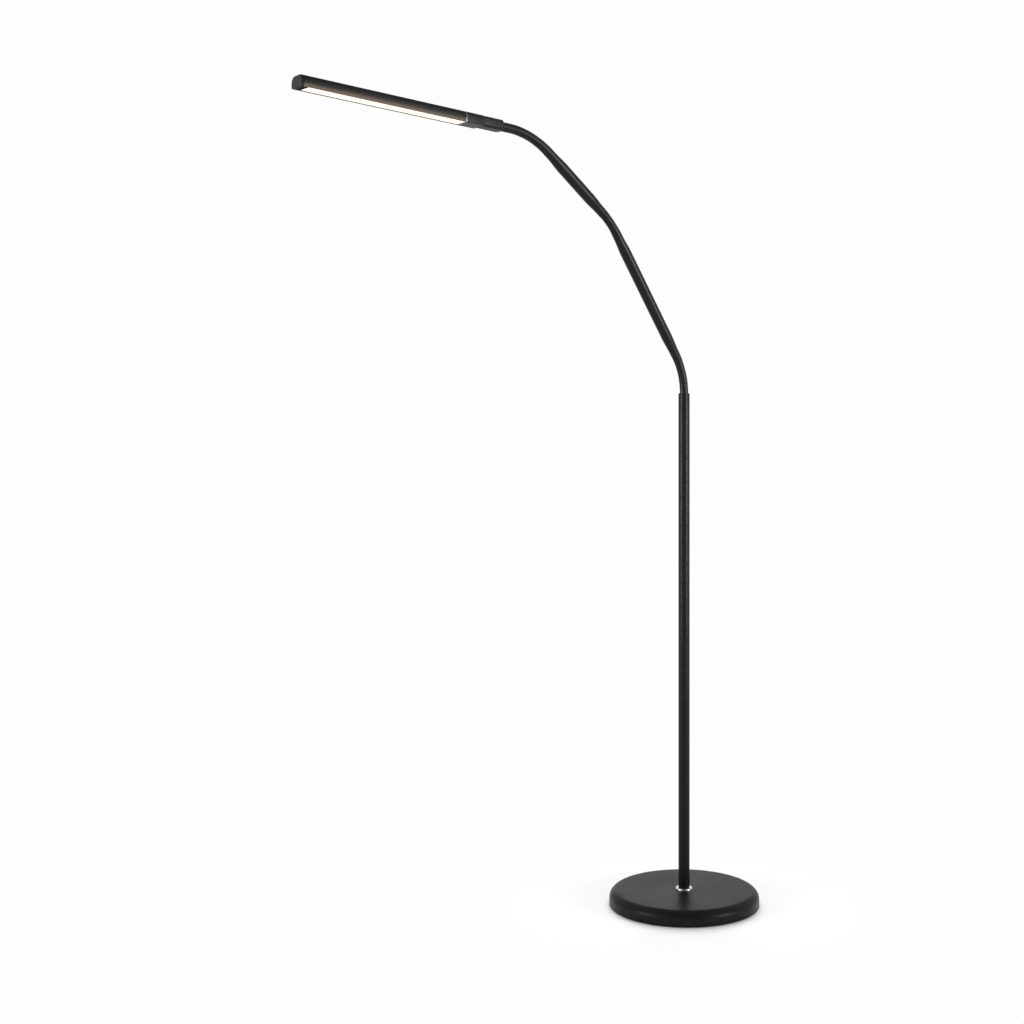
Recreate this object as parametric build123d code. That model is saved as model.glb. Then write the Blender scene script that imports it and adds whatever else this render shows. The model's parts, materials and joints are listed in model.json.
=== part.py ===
from build123d import *
import os
from math import asin, cos, degrees, pi, radians, sin, sqrt, tan

# A reading floor lamp: a weighted round base, one straight pole, and an arm of two rigid tubes
# joined by three flexible necks, which carries a slim bar of LEDs. Millimetres, +Z up. The origin
# is the middle of the base's underside, and the arm lies in the XZ plane and points along -X.

# ---- Driving dimensions -------------------------------------------------------------------
# Base
base_diameter = 254.0
base_top = 25.4
base_edge_radius = 13.6
shell_wall = 1.5
shell_rim_height = 1.2
weight_rim_gap = 3.5
weight_thickness = 10.0
weight_boss_radius = 30.0
weight_edge_radius = 3.0
plate_rim_gap = 2.5
plate_thickness = 1.2
pad_edge_inset = 3.0
pad_thickness = 3.0
plate_screw_inset = 28.0
plate_screw_count = 3
plate_screw_radius = 2.0
plate_screw_head_radius = 3.8
plate_screw_length = 8.0

# Stud, washer and nut that pull the base up against the pole
stud_radius = 5.0
stud_lead_room = 1.1
stud_bottom = 12.5
stud_below_nut = 0.5
stud_nut_flats = 17.0
stud_nut_height = 5.0
stud_washer_radius = 11.0
stud_washer_thickness = 1.5
stud_recess_radius = 15.0
stud_hole_clearance = 0.2

# Low voltage lead, and the rubber grommet where the supply cord enters at the back
lead_radius = 1.5
lead_bend_radius = 6.5
lead_height = 6.2
lead_channel_room = 1.0
lead_corner_radius = 40.0
inlet_radius = 2.0
grommet_wall = 1.8
grommet_lip = 1.1
grommet_flange_thickness = 1.4
grommet_clearance = 0.1
connector_length = 12.0
connector_width = 5.0
connector_height = 4.0
connector_end_gap = 6.0

# Pole
pole_radius = 9.5
pole_wall = 1.2
pole_length = 841.0
foot_bush_length = 20.0
foot_thread_depth = 16.0
top_bush_length = 20.0
check_ring_radius = 14.5
check_ring_height = 3.2
check_ring_edge_radius = 2.4

# Rigid arm tubes: swaged down at both ends to meet the necks
tube_radius = 9.0
tube_end_radius = 7.7
tube_wall = 1.2
tube_land = 6.0
tube_taper = 25.0

# Flexible necks: a rubber sleeve over a spine of ball-jointed links
sleeve_radius = 7.1
sleeve_bore_radius = 5.5
sleeve_bore_overrun = 1.5
sleeve_cuff_length = 6.0
sleeve_seat_depth = 6.0
sleeve_seat_clearance = 0.2
ball_radius = 4.1
ball_clearance = 0.05
stem_radius = 2.75
link_sleeve_gap = 0.4
link_lead_room = 0.6
ball_mouth_radius = 3.0
ball_mouth_depth = 1.6
socket_rim_height = 0.8
stem_length = 1.0
shoulder_length = 1.5
collar_clearance = 0.05
collar_length = 3.0
neck_thread_length = 24.0
lock_nut_flats = 14.0
lock_nut_height = 5.0

# Route of the arm: where the axes of the straight stretches meet, and how round each bend is
lower_bend_above_pole = 35.6
lower_arm_span = 290.3
lower_arm_angle = 53.5
upper_arm_span = 204.4
upper_arm_angle = 34.35
lower_bend_radius = 108.0
middle_bend_radius = 130.0
upper_bend_radius = 142.0
socket_from_bend = 60.5

# Neck socket at the back of the head, and the swivel on which the head twists
socket_length = 39.5
socket_width = 21.5
socket_height = 16.2
socket_corner_radius = 4.5
socket_taper_length = 4.0
socket_mouth_wall = 0.6
socket_bore_radius = 5.6
socket_front_wall = 8.5
grub_screw_radius = 2.0
grub_screw_setback = 10.0
grub_screw_inset = 1.0
ferrule_past_grub_screw = 6.0
swivel_pin_radius = 4.0
swivel_clearance = 0.05
swivel_thread_depth = 6.5
swivel_nut_radius = 5.3
swivel_nut_length = 3.0
swivel_washer_radius = 6.4
swivel_gap = 0.6
swivel_end_play = 0.05

# Head: one D shaped section for the root block, the trim, the housing and the end cap
head_width = 27.0
head_height = 16.5
head_top_radius = 7.0
head_bottom_radius = 1.5
least_inside_fillet = 0.3
head_axis_height = 8.25
root_block_length = 33.6
root_back_wall = 7.0
root_wall = 2.0
root_roof = 4.0
root_cover_thickness = 1.6
root_cover_clearance = 0.1
trim_thickness = 0.8
spigot_length = 14.0
spigot_clearance = 0.1
housing_length = 270.2
housing_wall = 1.6
web_height = 7.0
web_thickness = 1.4
window_width = 21.8
window_end_strip = 5.0
end_strip_recess = 0.4
lip_thickness = 0.9
diffuser_width = 23.4
diffuser_thickness = 1.5
diffuser_clearance = 0.1
end_cap_length = 3.2
end_cap_gap = 1.2
end_cap_plug_length = 8.0
end_cap_edge_radius = 1.2
housing_screw_radius = 1.25
housing_screw_head_radius = 2.4
housing_screw_sink = 0.2
housing_screw_setback = 7.5
housing_screw_spread = 12.0
housing_screw_length = 4.5
led_board_width = 14.0
led_board_thickness = 1.2
led_board_end_gap = 6.0
led_count = 30
led_size = 2.8
led_thickness = 0.7
driver_board_length = 20.0
driver_board_width = 18.0
driver_board_thickness = 1.6
tact_switch_size = 6.0
button_radius = 4.5
button_clearance = 0.1
button_proud = 1.0
button_flange = 0.9
button_flange_thickness = 1.0
button_travel = 0.6
button_setback = 17.0

# How far a cutting shape runs past the face that it opens
overcut = 1.0

# ---- Values worked out from the driving dimensions ----------------------------------------
base_radius = base_diameter / 2
shell_inside_top = base_top - shell_wall
weight_bottom = pad_thickness + plate_thickness
weight_radius = base_radius - shell_wall - weight_rim_gap
plate_radius = base_radius - shell_wall - plate_rim_gap
pad_radius = plate_radius - pad_edge_inset
plate_screw_circle_radius = plate_radius - plate_screw_inset
lead_channel_width = connector_width + 2 * lead_channel_room
lead_channel_top = lead_height + connector_height / 2 + lead_channel_room
grommet_body_radius = inlet_radius + grommet_wall
grommet_flange_radius = grommet_body_radius + grommet_lip
stud_bore_radius = lead_radius + stud_lead_room
pole_bore_radius = pole_radius - pole_wall
pole_top = base_top + pole_length
sleeve_seat = pole_top - sleeve_seat_depth
stud_top = base_top + foot_thread_depth
stud_nut_bottom = stud_bottom + stud_below_nut
stud_recess_top = stud_nut_bottom + stud_nut_height + stud_washer_thickness
tube_end_bore_radius = tube_end_radius - tube_wall
link_bore_radius = lead_radius + link_lead_room
link_radius = sleeve_bore_radius - link_sleeve_gap
collar_radius = sleeve_bore_radius - collar_clearance
sleeve_seat_radius = sleeve_radius + sleeve_seat_clearance
cavity_radius = ball_radius + ball_clearance


def slope_direction(slope):
    """Unit vector that leaves along -X and climbs at an angle in degrees."""
    return Vector(-cos(radians(slope)), 0, sin(radians(slope)))


class Bend:
    """One flexible neck's curve: two straight axes, and an arc of one radius between them.

    Its three joints stand at the corners of the tangent polygon round the arc, so each takes a
    third of the turn, and the first and last lie on the axes of the stiff parts they belong to.
    """

    def __init__(self, corner, slope_in, slope_out, radius):
        self.radius = radius
        self.turn = radians(slope_in - slope_out)
        self.way_in = slope_direction(slope_in)
        self.way_out = slope_direction(slope_out)
        self.tangent = radius * tan(self.turn / 2)
        self.start = corner - self.way_in * self.tangent
        self.end = corner + self.way_out * self.tangent
        inwards = (self.way_out - self.way_in).normalized()
        centre = corner + inwards * (radius / cos(self.turn / 2))
        self.outwards = inwards * -1
        self.middle = centre + self.outwards * radius
        self.joint_offset = radius * tan(self.turn / 6)
        self.link_length = 2 * self.joint_offset
        self.joint_1 = self.start + self.way_in * self.joint_offset
        self.joint_2 = centre + self.outwards * (radius / cos(self.turn / 6))
        self.joint_3 = self.end - self.way_out * self.joint_offset


lower_corner = Vector(0, 0, pole_top + lower_bend_above_pole)
middle_corner = lower_corner + slope_direction(lower_arm_angle) * lower_arm_span
upper_corner = middle_corner + slope_direction(upper_arm_angle) * upper_arm_span
lower_bend = Bend(lower_corner, 90, lower_arm_angle, lower_bend_radius)
middle_bend = Bend(middle_corner, lower_arm_angle, upper_arm_angle, middle_bend_radius)
upper_bend = Bend(upper_corner, upper_arm_angle, 0, upper_bend_radius)

head_way = upper_bend.way_out
socket_back = upper_corner + head_way * socket_from_bend
socket_front = socket_back + head_way * socket_length
root_back = socket_front + head_way * swivel_gap
root_front = root_back + head_way * root_block_length
housing_back = root_front + head_way * trim_thickness
housing_front = housing_back + head_way * housing_length
head_bottom = upper_corner.Z - head_axis_height


# ---- Small shared helpers -----------------------------------------------------------------
def along(origin, way):
    """Work plane with Z along the part, X across it and Y on its upper or outer side."""
    return Plane(origin=origin, x_dir=(0, -1, 0), z_dir=way)


def turned(points):
    """Solid of revolution about Z, from (radius, height) points joined by straight lines."""
    with BuildPart() as solid:
        with BuildSketch(Plane.XZ):
            with BuildLine():
                Polyline(*points, close=True)
            make_face()
        revolve(axis=Axis.Z)
    return solid.part


def rod(radius, length, bore=0):
    """Cylinder that stands on its own origin, with a bore if one is given."""
    points = [(bore, 0), (radius, 0), (radius, length), (bore, length)]
    return turned(points)


def hex_nut(flats, height, bore):
    """Hexagon nut that stands on its own origin."""
    with BuildPart() as solid:
        with BuildSketch():
            RegularPolygon(flats / 2, 6, major_radius=False)
            Circle(bore, mode=Mode.SUBTRACT)
        extrude(amount=height)
    return solid.part


def box_on(width, depth, height):
    """Block centred in X and Y that stands on its own origin."""
    return Box(width, depth, height, align=(Align.CENTER, Align.CENTER, Align.MIN))


def swept(path, radius):
    """Round bar along a path that starts at its first point."""
    start = path.edges()[0]
    section = Plane(origin=start @ 0, z_dir=start % 0) * Circle(radius)
    return sweep(section, path=path)


# ---- Base ---------------------------------------------------------------------------------
def inlet_cut(radius, length):
    """Upright U shape at the back of the rim, round above the lead and open to the floor."""
    centre = Vector(base_radius, 0, lead_height)
    hole = Plane(origin=centre - Vector(length / 2, 0, 0), z_dir=(1, 0, 0)) * rod(radius, length)
    foot_height = lead_height - shell_rim_height
    foot = Pos(base_radius, 0, shell_rim_height) * box_on(length, 2 * radius, foot_height)
    return hole + foot


def make_base_shell():
    """Spun steel cover with a large round edge, one wall thick, notched at the back."""
    inside_edge = base_edge_radius - shell_wall
    inside_radius = base_radius - shell_wall
    corner = cos(radians(45))
    with BuildPart() as solid:
        with BuildSketch(Plane.XZ):
            with BuildLine():
                stud_hole = stud_radius + stud_hole_clearance
                edge_centre = (base_radius - base_edge_radius, base_top - base_edge_radius)
                Polyline(
                    (edge_centre[0], base_top),
                    (stud_hole, base_top),
                    (stud_hole, shell_inside_top),
                    (edge_centre[0], shell_inside_top),
                )
                ThreePointArc(
                    (edge_centre[0], shell_inside_top),
                    (edge_centre[0] + inside_edge * corner, edge_centre[1] + inside_edge * corner),
                    (inside_radius, edge_centre[1]),
                )
                Polyline(
                    (inside_radius, edge_centre[1]),
                    (inside_radius, shell_rim_height),
                    (base_radius, shell_rim_height),
                    (base_radius, edge_centre[1]),
                )
                ThreePointArc(
                    (base_radius, edge_centre[1]),
                    (
                        edge_centre[0] + base_edge_radius * corner,
                        edge_centre[1] + base_edge_radius * corner,
                    ),
                    (edge_centre[0], base_top),
                )
            make_face()
        revolve(axis=Axis.Z)
    return solid.part - inlet_cut(grommet_body_radius + grommet_clearance, 4 * shell_wall)


def make_base_weight():
    """Cast iron disc with a boss up to the shell, a recess for the nut and a lead channel."""
    disc_top = weight_bottom + weight_thickness
    bore = stud_radius + stud_hole_clearance
    profile = [
        (bore, stud_recess_top),
        (stud_recess_radius, stud_recess_top),
        (stud_recess_radius, weight_bottom),
        (weight_radius, weight_bottom),
        (weight_radius, disc_top - weight_edge_radius),
        (weight_radius - weight_edge_radius, disc_top),
        (weight_boss_radius + weight_edge_radius, disc_top),
        (weight_boss_radius, shell_inside_top),
        (bore, shell_inside_top),
    ]
    channel_height = lead_channel_top - weight_bottom
    channel = Pos(weight_radius / 2, 0, weight_bottom) * box_on(
        weight_radius, lead_channel_width, channel_height
    )
    holes = plate_screw_places(weight_bottom) * rod(plate_screw_radius, plate_screw_length)
    weight = turned(profile) - channel
    for hole in holes:
        weight -= hole
    return weight


def plate_screw_places(height):
    """Places of the screws that hold the bottom plate, clear of the lead channel."""
    return Pos(0, 0, height) * PolarLocations(
        plate_screw_circle_radius, plate_screw_count, start_angle=180 / plate_screw_count
    )


def make_base_plate():
    """Thin steel disc under the weight, countersunk for its screws."""
    plate = Pos(0, 0, pad_thickness) * rod(plate_radius, plate_thickness)
    for cut in plate_screw_places(pad_thickness) * countersunk_head():
        plate -= cut
    return plate


def countersunk_head():
    """Head of a plate screw: its face is flush with the underside of the plate."""
    return turned(
        [
            (0, 0),
            (plate_screw_head_radius, 0),
            (plate_screw_radius, plate_thickness),
            (0, plate_thickness),
        ]
    )


def make_base_plate_screws():
    """Countersunk screws, one solid each."""
    screw = countersunk_head() + Pos(0, 0, plate_thickness) * rod(
        plate_screw_radius, plate_screw_length
    )
    return Compound(children=list(plate_screw_places(pad_thickness) * screw))


def make_base_pad():
    """Foam rubber disc that the lamp stands on."""
    return rod(pad_radius, pad_thickness)


def make_base_stud():
    """Hollow threaded stud from below the weight into the foot of the pole."""
    return Pos(0, 0, stud_bottom) * rod(stud_radius, stud_top - stud_bottom, stud_bore_radius)


def make_stud_nut():
    """Thin hexagon nut in the recess under the weight."""
    return Pos(0, 0, stud_nut_bottom) * hex_nut(stud_nut_flats, stud_nut_height, stud_radius)


def make_stud_washer():
    """Plain washer between the nut and the roof of the recess."""
    washer = rod(stud_washer_radius, stud_washer_thickness, stud_radius)
    return Pos(0, 0, stud_recess_top - stud_washer_thickness) * washer


def make_check_ring():
    """Chromed ring that trims the foot of the pole."""
    with BuildPart() as solid:
        with BuildSketch(Plane.XZ):
            with BuildLine():
                edge = check_ring_edge_radius
                bottom = base_top
                top = base_top + check_ring_height
                Polyline(
                    (check_ring_radius - edge, top),
                    (pole_radius, top),
                    (pole_radius, bottom),
                    (check_ring_radius, bottom),
                    (check_ring_radius, top - edge),
                )
                RadiusArc(
                    (check_ring_radius, top - edge),
                    (check_ring_radius - edge, top),
                    -edge,
                )
            make_face()
        revolve(axis=Axis.Z)
    return solid.part


def make_cord_grommet():
    """Rubber grommet in the notch of the rim, with a flange each side of the wall."""
    wall_inside = base_radius - shell_wall - grommet_clearance
    outside = base_radius + grommet_flange_thickness
    inside = wall_inside - grommet_flange_thickness
    body = inlet_cut(grommet_body_radius, 2 * (base_radius - wall_inside))
    flange = Plane(origin=(inside, 0, lead_height), z_dir=(1, 0, 0)) * rod(
        grommet_flange_radius, grommet_flange_thickness
    )
    outer_flange = Pos(outside - inside - grommet_flange_thickness, 0, 0) * flange
    bore = Plane(origin=(inside - overcut, 0, lead_height), z_dir=(1, 0, 0)) * rod(
        inlet_radius, outside - inside + 2 * overcut
    )
    front_cut = Pos(outside + base_top / 2, 0, 0) * box_on(base_top, base_top, base_top)
    return body + flange + outer_flange - bore - front_cut


def connector_back():
    """Where the lead leaves the connector, just inside the grommet."""
    rim = base_radius - shell_wall - grommet_clearance - grommet_flange_thickness
    return rim - connector_end_gap - connector_length


def make_lead_connector():
    """Plug-in connector that joins the supply cord to the lead, lying in the channel."""
    x = connector_back() + connector_length / 2
    z = lead_height - connector_height / 2
    return Pos(x, 0, z) * box_on(connector_length, connector_width, connector_height)


# ---- Pole ---------------------------------------------------------------------------------
def make_pole_tube():
    """Straight steel tube, in one length."""
    return Pos(0, 0, base_top) * rod(pole_radius, pole_length, pole_bore_radius)


def make_pole_foot_bush():
    """Threaded steel bush pressed into the foot of the pole."""
    profile = [
        (stud_radius, 0),
        (pole_bore_radius, 0),
        (pole_bore_radius, foot_bush_length),
        (stud_bore_radius, foot_bush_length),
        (stud_bore_radius, foot_thread_depth),
        (stud_radius, foot_thread_depth),
    ]
    return Pos(0, 0, base_top) * turned(profile)


def make_pole_top_bush():
    """Bush in the top of the pole: the neck screws into it and its sleeve stands in a seat."""
    bottom = top_bush_length - sleeve_seat_depth
    profile = [
        (stud_radius, 0),
        (pole_bore_radius, 0),
        (pole_bore_radius, top_bush_length),
        (sleeve_seat_radius, top_bush_length),
        (sleeve_seat_radius, bottom),
        (stud_radius, bottom),
    ]
    return Pos(0, 0, pole_top - top_bush_length) * turned(profile)


def make_neck_lock_nut():
    """Nut that locks the root of the lower neck under the top bush."""
    height = pole_top - top_bush_length - lock_nut_height
    return Pos(0, 0, height) * hex_nut(lock_nut_flats, lock_nut_height, stud_radius)


def make_pole_lead():
    """Lead from the connector along the base channel, round a bend and up the pole."""
    turn_x = lead_bend_radius
    turn_z = lead_height + lead_bend_radius
    corner = lead_bend_radius * (1 - cos(radians(45)))
    with BuildLine() as path:
        Line((connector_back(), 0, lead_height), (turn_x, 0, lead_height))
        ThreePointArc((turn_x, 0, lead_height), (corner, 0, lead_height + corner), (0, 0, turn_z))
        Line((0, 0, turn_z), (0, 0, sleeve_seat))
    return swept(path.wires()[0], lead_radius)


# ---- Flexible necks -----------------------------------------------------------------------
def socket_end_points(height):
    """Bottom and rim points of a ball socket whose centre is at a height on the axis."""
    bottom = height - sqrt(cavity_radius**2 - link_bore_radius**2)
    rim_radius = sqrt(cavity_radius**2 - socket_rim_height**2)
    return (link_bore_radius, bottom), (rim_radius, height + socket_rim_height)


def socket_cavity_middle(height):
    """Point half way down the wall of the socket."""
    low = asin(link_bore_radius / cavity_radius)
    high = pi / 2 + asin(socket_rim_height / cavity_radius)
    angle = (low + high) / 2
    return cavity_radius * sin(angle), height - cavity_radius * cos(angle)


def ball_profile():
    """Arc of the ball from its flared mouth to its stem, with its centre at the origin."""
    mouth_height = -sqrt(ball_radius**2 - ball_mouth_radius**2)
    stem_height = sqrt(ball_radius**2 - stem_radius**2)
    return ThreePointArc((ball_mouth_radius, mouth_height), (ball_radius, 0), (stem_radius, stem_height))


def ball_throat():
    """Where the flared mouth of a ball meets its bore, so that the lead can turn there."""
    return link_bore_radius, ball_mouth_depth - sqrt(ball_radius**2 - ball_mouth_radius**2)


def shoulder_points():
    """Stem above the ball, then the cone out to the full width of a link."""
    stem_top = sqrt(ball_radius**2 - stem_radius**2) + stem_length
    return [
        (stem_radius, sqrt(ball_radius**2 - stem_radius**2)),
        (stem_radius, stem_top),
        (link_radius, stem_top + shoulder_length),
    ]


def make_link(length):
    """Spine link: a ball at the origin, and a socket for the next ball at its far end."""
    bottom, rim = socket_end_points(length)
    with BuildPart() as solid:
        with BuildSketch(Plane.XZ):
            with BuildLine():
                ball = ball_profile()
                Polyline(*shoulder_points(), (link_radius, rim[1]), rim)
                ThreePointArc(rim, socket_cavity_middle(length), bottom)
                Polyline(bottom, ball_throat(), ball @ 0)
            make_face()
        revolve(axis=Axis.Z)
    return solid.part


def make_socket_ferrule(reach, plug_radius, plug_length):
    """End fitting with the socket's centre at the origin, and its plug below the tube's end.

    reach is the distance from the end of the tube to the socket's centre.
    """
    bottom, rim = socket_end_points(0)
    with BuildPart() as solid:
        with BuildSketch(Plane.XZ):
            with BuildLine():
                ThreePointArc(rim, socket_cavity_middle(0), bottom)
                Polyline(
                    bottom,
                    (link_bore_radius, -reach - plug_length),
                    (plug_radius, -reach - plug_length),
                    (plug_radius, -reach),
                    (collar_radius, -reach),
                    (collar_radius, -reach + collar_length),
                    (link_radius, -reach + collar_length),
                    (link_radius, rim[1]),
                    rim,
                )
            make_face()
        revolve(axis=Axis.Z)
    return solid.part


def make_ball_ferrule(reach, plug_radius, plug_length):
    """End fitting with its ball's centre at the origin, and its plug past the tube's end."""
    with BuildPart() as solid:
        with BuildSketch(Plane.XZ):
            with BuildLine():
                ball = ball_profile()
                Polyline(
                    *shoulder_points(),
                    (link_radius, reach - collar_length),
                    (collar_radius, reach - collar_length),
                    (collar_radius, reach),
                    (plug_radius, reach),
                    (plug_radius, reach + plug_length),
                    (link_bore_radius, reach + plug_length),
                    ball_throat(),
                    ball @ 0,
                )
            make_face()
        revolve(axis=Axis.Z)
    return solid.part


def bend_path(bend, first, last):
    """Straight run, arc, straight run: the middle line of a neck."""
    with BuildLine() as path:
        Line(first, bend.start)
        ThreePointArc(bend.start, bend.middle, bend.end)
        Line(bend.end, last)
    return path.wires()[0]


def make_cuff():
    """Cone that widens the sleeve to the end of an arm tube, wide end at the origin."""
    return turned(
        [
            (0, 0),
            (tube_end_radius, 0),
            (sleeve_radius, sleeve_cuff_length),
            (0, sleeve_cuff_length),
        ]
    )


def make_sleeve(bend, before, after, cuff_first, cuff_last):
    """Smooth rubber sleeve, flared where it meets an arm tube, whose bore follows the spine."""
    first = bend.start - bend.way_in * before
    last = bend.end + bend.way_out * after
    sleeve = swept(bend_path(bend, first, last), sleeve_radius)
    if cuff_first:
        sleeve += along(first, bend.way_in) * make_cuff()
    if cuff_last:
        sleeve += along(last, bend.way_out * -1) * make_cuff()
    points = [first, bend.joint_1, bend.joint_2, bend.joint_3, last]
    for start, end in zip(points, points[1:]):
        way = (end - start).normalized()
        overrun = way * sleeve_bore_overrun
        bore = rod(sleeve_bore_radius, (end - start).length + 2 * sleeve_bore_overrun)
        sleeve -= along(start - overrun, way) * bore
    return sleeve


def make_neck_lead(bend, before, after):
    """Lead through a neck: it follows the bores of the links, eased at each joint."""
    first = bend.start - bend.way_in * before
    last = bend.end + bend.way_out * after
    with BuildLine() as path:
        FilletPolyline(
            first, bend.joint_1, bend.joint_2, bend.joint_3, last, radius=lead_corner_radius
        )
    return swept(path.wires()[0], lead_radius)


def neck_nodes(name, bend, before, after, cuff_first, cuff_last):
    """The moving spine, the sleeve and the lead of one neck, by node name."""
    link = make_link(bend.link_length)
    first_way = (bend.joint_2 - bend.joint_1).normalized()
    second_way = (bend.joint_3 - bend.joint_2).normalized()
    return {
        f"{name}_link_1": along(bend.joint_1, first_way) * link,
        f"{name}_link_2": along(bend.joint_2, second_way) * link,
        f"{name}_sleeve": make_sleeve(bend, before, after, cuff_first, cuff_last),
        f"{name}_lead": make_neck_lead(bend, before, after),
    }


# ---- Arm tubes ----------------------------------------------------------------------------
def make_arm_tube(length):
    """Steel tube with a straight land and a long taper at each end."""
    outside = [
        (tube_end_radius, 0),
        (tube_end_radius, tube_land),
        (tube_radius, tube_land + tube_taper),
        (tube_radius, length - tube_land - tube_taper),
        (tube_end_radius, length - tube_land),
        (tube_end_radius, length),
    ]
    inside = [(radius - tube_wall, height) for radius, height in reversed(outside)]
    return turned(outside + inside)


def arm_nodes(name, bend_before, bend_after):
    """A rigid tube between two necks, its two end fittings and its lead, by node name."""
    start = bend_before.end + bend_before.way_out * sleeve_cuff_length
    end = bend_after.start - bend_after.way_in * sleeve_cuff_length
    way = bend_after.way_in
    length = (end - start).length
    root_reach = bend_before.joint_offset + sleeve_cuff_length
    tip_reach = bend_after.joint_offset + sleeve_cuff_length
    root = make_ball_ferrule(root_reach, tube_end_bore_radius, tube_land)
    tip = make_socket_ferrule(tip_reach, tube_end_bore_radius, tube_land)
    return {
        f"{name}_tube": along(start, way) * make_arm_tube(length),
        f"{name}_root_ferrule": along(bend_before.joint_3, way) * root,
        f"{name}_tip_ferrule": along(bend_after.joint_1, way) * tip,
        f"{name}_lead": along(start, way) * rod(lead_radius, length),
    }


# ---- Head ---------------------------------------------------------------------------------
def head_section(inset=0.0):
    """D shaped section of the head, in X across and Y up, centred on the neck's axis."""
    width = head_width - 2 * inset
    height = head_height - 2 * inset
    centre_y = head_height / 2 - head_axis_height
    with BuildSketch() as section:
        with Locations((0, centre_y)):
            Rectangle(width, height)
        top = section.vertices().group_by(Axis.Y)[-1]
        fillet(top, max(head_top_radius - inset, least_inside_fillet))
        bottom = section.vertices().group_by(Axis.Y)[0]
        fillet(bottom, max(head_bottom_radius - inset, least_inside_fillet))
    return section.sketch


def head_prism(start, length, inset=0.0):
    """Length of the head's section, from a point on the axis."""
    return along(start, head_way) * extrude(head_section(inset), length)


def head_block(start, length, width, low, high):
    """Block across the head, between two heights above the head's underside."""
    block = Pos(0, low - head_axis_height + (high - low) / 2, length / 2) * Box(
        width, high - low, length
    )
    return along(start, head_way) * block


def rounded_block(width, height, corner, length):
    """Rounded rectangle extruded along Z."""
    with BuildPart() as solid:
        with BuildSketch():
            RectangleRounded(width, height, corner)
        extrude(amount=length)
    return solid.part


def make_neck_socket():
    """Block that takes the upper neck, drawn in round it at the back, bored for the swivel."""
    mouth = sleeve_seat_radius + socket_mouth_wall
    taper = loft(
        [
            Plane.XY * RectangleRounded(2 * mouth, 2 * mouth, sleeve_radius),
            Plane.XY.offset(socket_taper_length)
            * RectangleRounded(socket_width, socket_height, socket_corner_radius),
        ]
    )
    straight_length = socket_length - socket_taper_length
    straight = rounded_block(socket_width, socket_height, socket_corner_radius, straight_length)
    body = taper + Pos(0, 0, socket_taper_length) * straight
    seat = rod(sleeve_seat_radius, sleeve_seat_depth)
    bore = rod(socket_bore_radius, socket_length - socket_front_wall)
    pin_hole = rod(swivel_pin_radius + swivel_clearance, socket_length)
    body = body - seat - bore - pin_hole
    screw_hole = Pos(0, 0, grub_screw_setback) * Rot(0, -90, 0) * rod(grub_screw_radius, socket_width)
    return along(socket_back, head_way) * (body - screw_hole)


def make_socket_grub_screw():
    """Grub screw through the far side of the socket onto the neck's end fitting."""
    length = socket_width / 2 - socket_bore_radius - grub_screw_inset
    screw = Rot(0, -90, 0) * rod(grub_screw_radius, length)
    place = Pos(-socket_bore_radius, 0, grub_screw_setback)
    return along(socket_back, head_way) * (place * screw)


def make_swivel_pin():
    """Hollow pin screwed into the root block, on which the head twists."""
    length = socket_front_wall + swivel_gap + swivel_thread_depth + swivel_nut_length
    pin = rod(swivel_pin_radius, length, link_bore_radius)
    back = socket_front - head_way * (socket_front_wall + swivel_nut_length)
    return along(back, head_way) * pin


def make_swivel_nut():
    """Round nut that keeps the pin in the socket, with a little end play."""
    nut = rod(swivel_nut_radius, swivel_nut_length - swivel_end_play, swivel_pin_radius)
    back = socket_front - head_way * (socket_front_wall + swivel_nut_length)
    return along(back, head_way) * nut


def make_swivel_washer():
    """Friction washer in the seam between the socket and the root block."""
    thickness = swivel_gap - swivel_end_play
    washer = rod(swivel_washer_radius, thickness, swivel_pin_radius)
    return along(root_back - head_way * thickness, head_way) * washer


def root_cavity():
    """Room for the driver inside the root block, open at the bottom."""
    length = root_block_length - root_back_wall - root_wall
    start = root_back + head_way * root_back_wall
    roof = head_height - root_roof
    return head_block(start, length, head_width - 4 * root_wall, -overcut, roof)


def cover_seat(clearance):
    """Step round the mouth of the cavity that takes the cover."""
    length = root_block_length - root_back_wall
    start = root_back + head_way * (root_back_wall - root_wall / 2 + clearance)
    width = head_width - 3 * root_wall - 2 * clearance
    return head_block(start, length - 2 * clearance, width, 0, root_cover_thickness)


def make_root_block():
    """Die cast block behind the bar, with a spigot that plugs into the bar's upper chamber."""
    block = head_prism(root_back, root_block_length)
    low = web_height + web_thickness + spigot_clearance
    spigot = head_prism(root_front, trim_thickness + spigot_length, housing_wall + spigot_clearance)
    above_web = head_block(root_front, trim_thickness + spigot_length, head_width, low, head_height)
    block += spigot & above_web
    pin_hole = along(root_back, head_way) * rod(swivel_pin_radius, root_back_wall)
    block = block - root_cavity() - cover_seat(0) - pin_hole
    button_hole = rod(button_radius + button_clearance, root_roof + 2 * overcut)
    block -= Pos(0, 0, -overcut) * button_place() * button_hole
    for screw in housing_screw_places() * rod(housing_screw_radius, housing_screw_length):
        block -= screw
    return block


def button_place():
    """Middle of the button on the roof's underside, pointing up."""
    x = (root_back + head_way * button_setback).X
    return Pos(x, 0, head_bottom + head_height - root_roof)


def make_switch_button():
    """Push button in the roof of the root block, kept in by its flange."""
    top = root_roof + button_proud
    flange = button_radius + button_flange
    profile = [
        (0, -button_flange_thickness),
        (flange, -button_flange_thickness),
        (flange, 0),
        (button_radius, 0),
        (button_radius, top),
        (0, top),
    ]
    return button_place() * turned(profile)


def make_tact_switch():
    """Small tactile switch on the driver board, under the button."""
    flange_bottom = head_bottom + head_height - root_roof - button_flange_thickness
    top = flange_bottom - button_travel - button_clearance
    bottom = driver_board_top()
    x = button_place().position.X
    return Pos(x, 0, bottom) * box_on(tact_switch_size, tact_switch_size, top - bottom)


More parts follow.
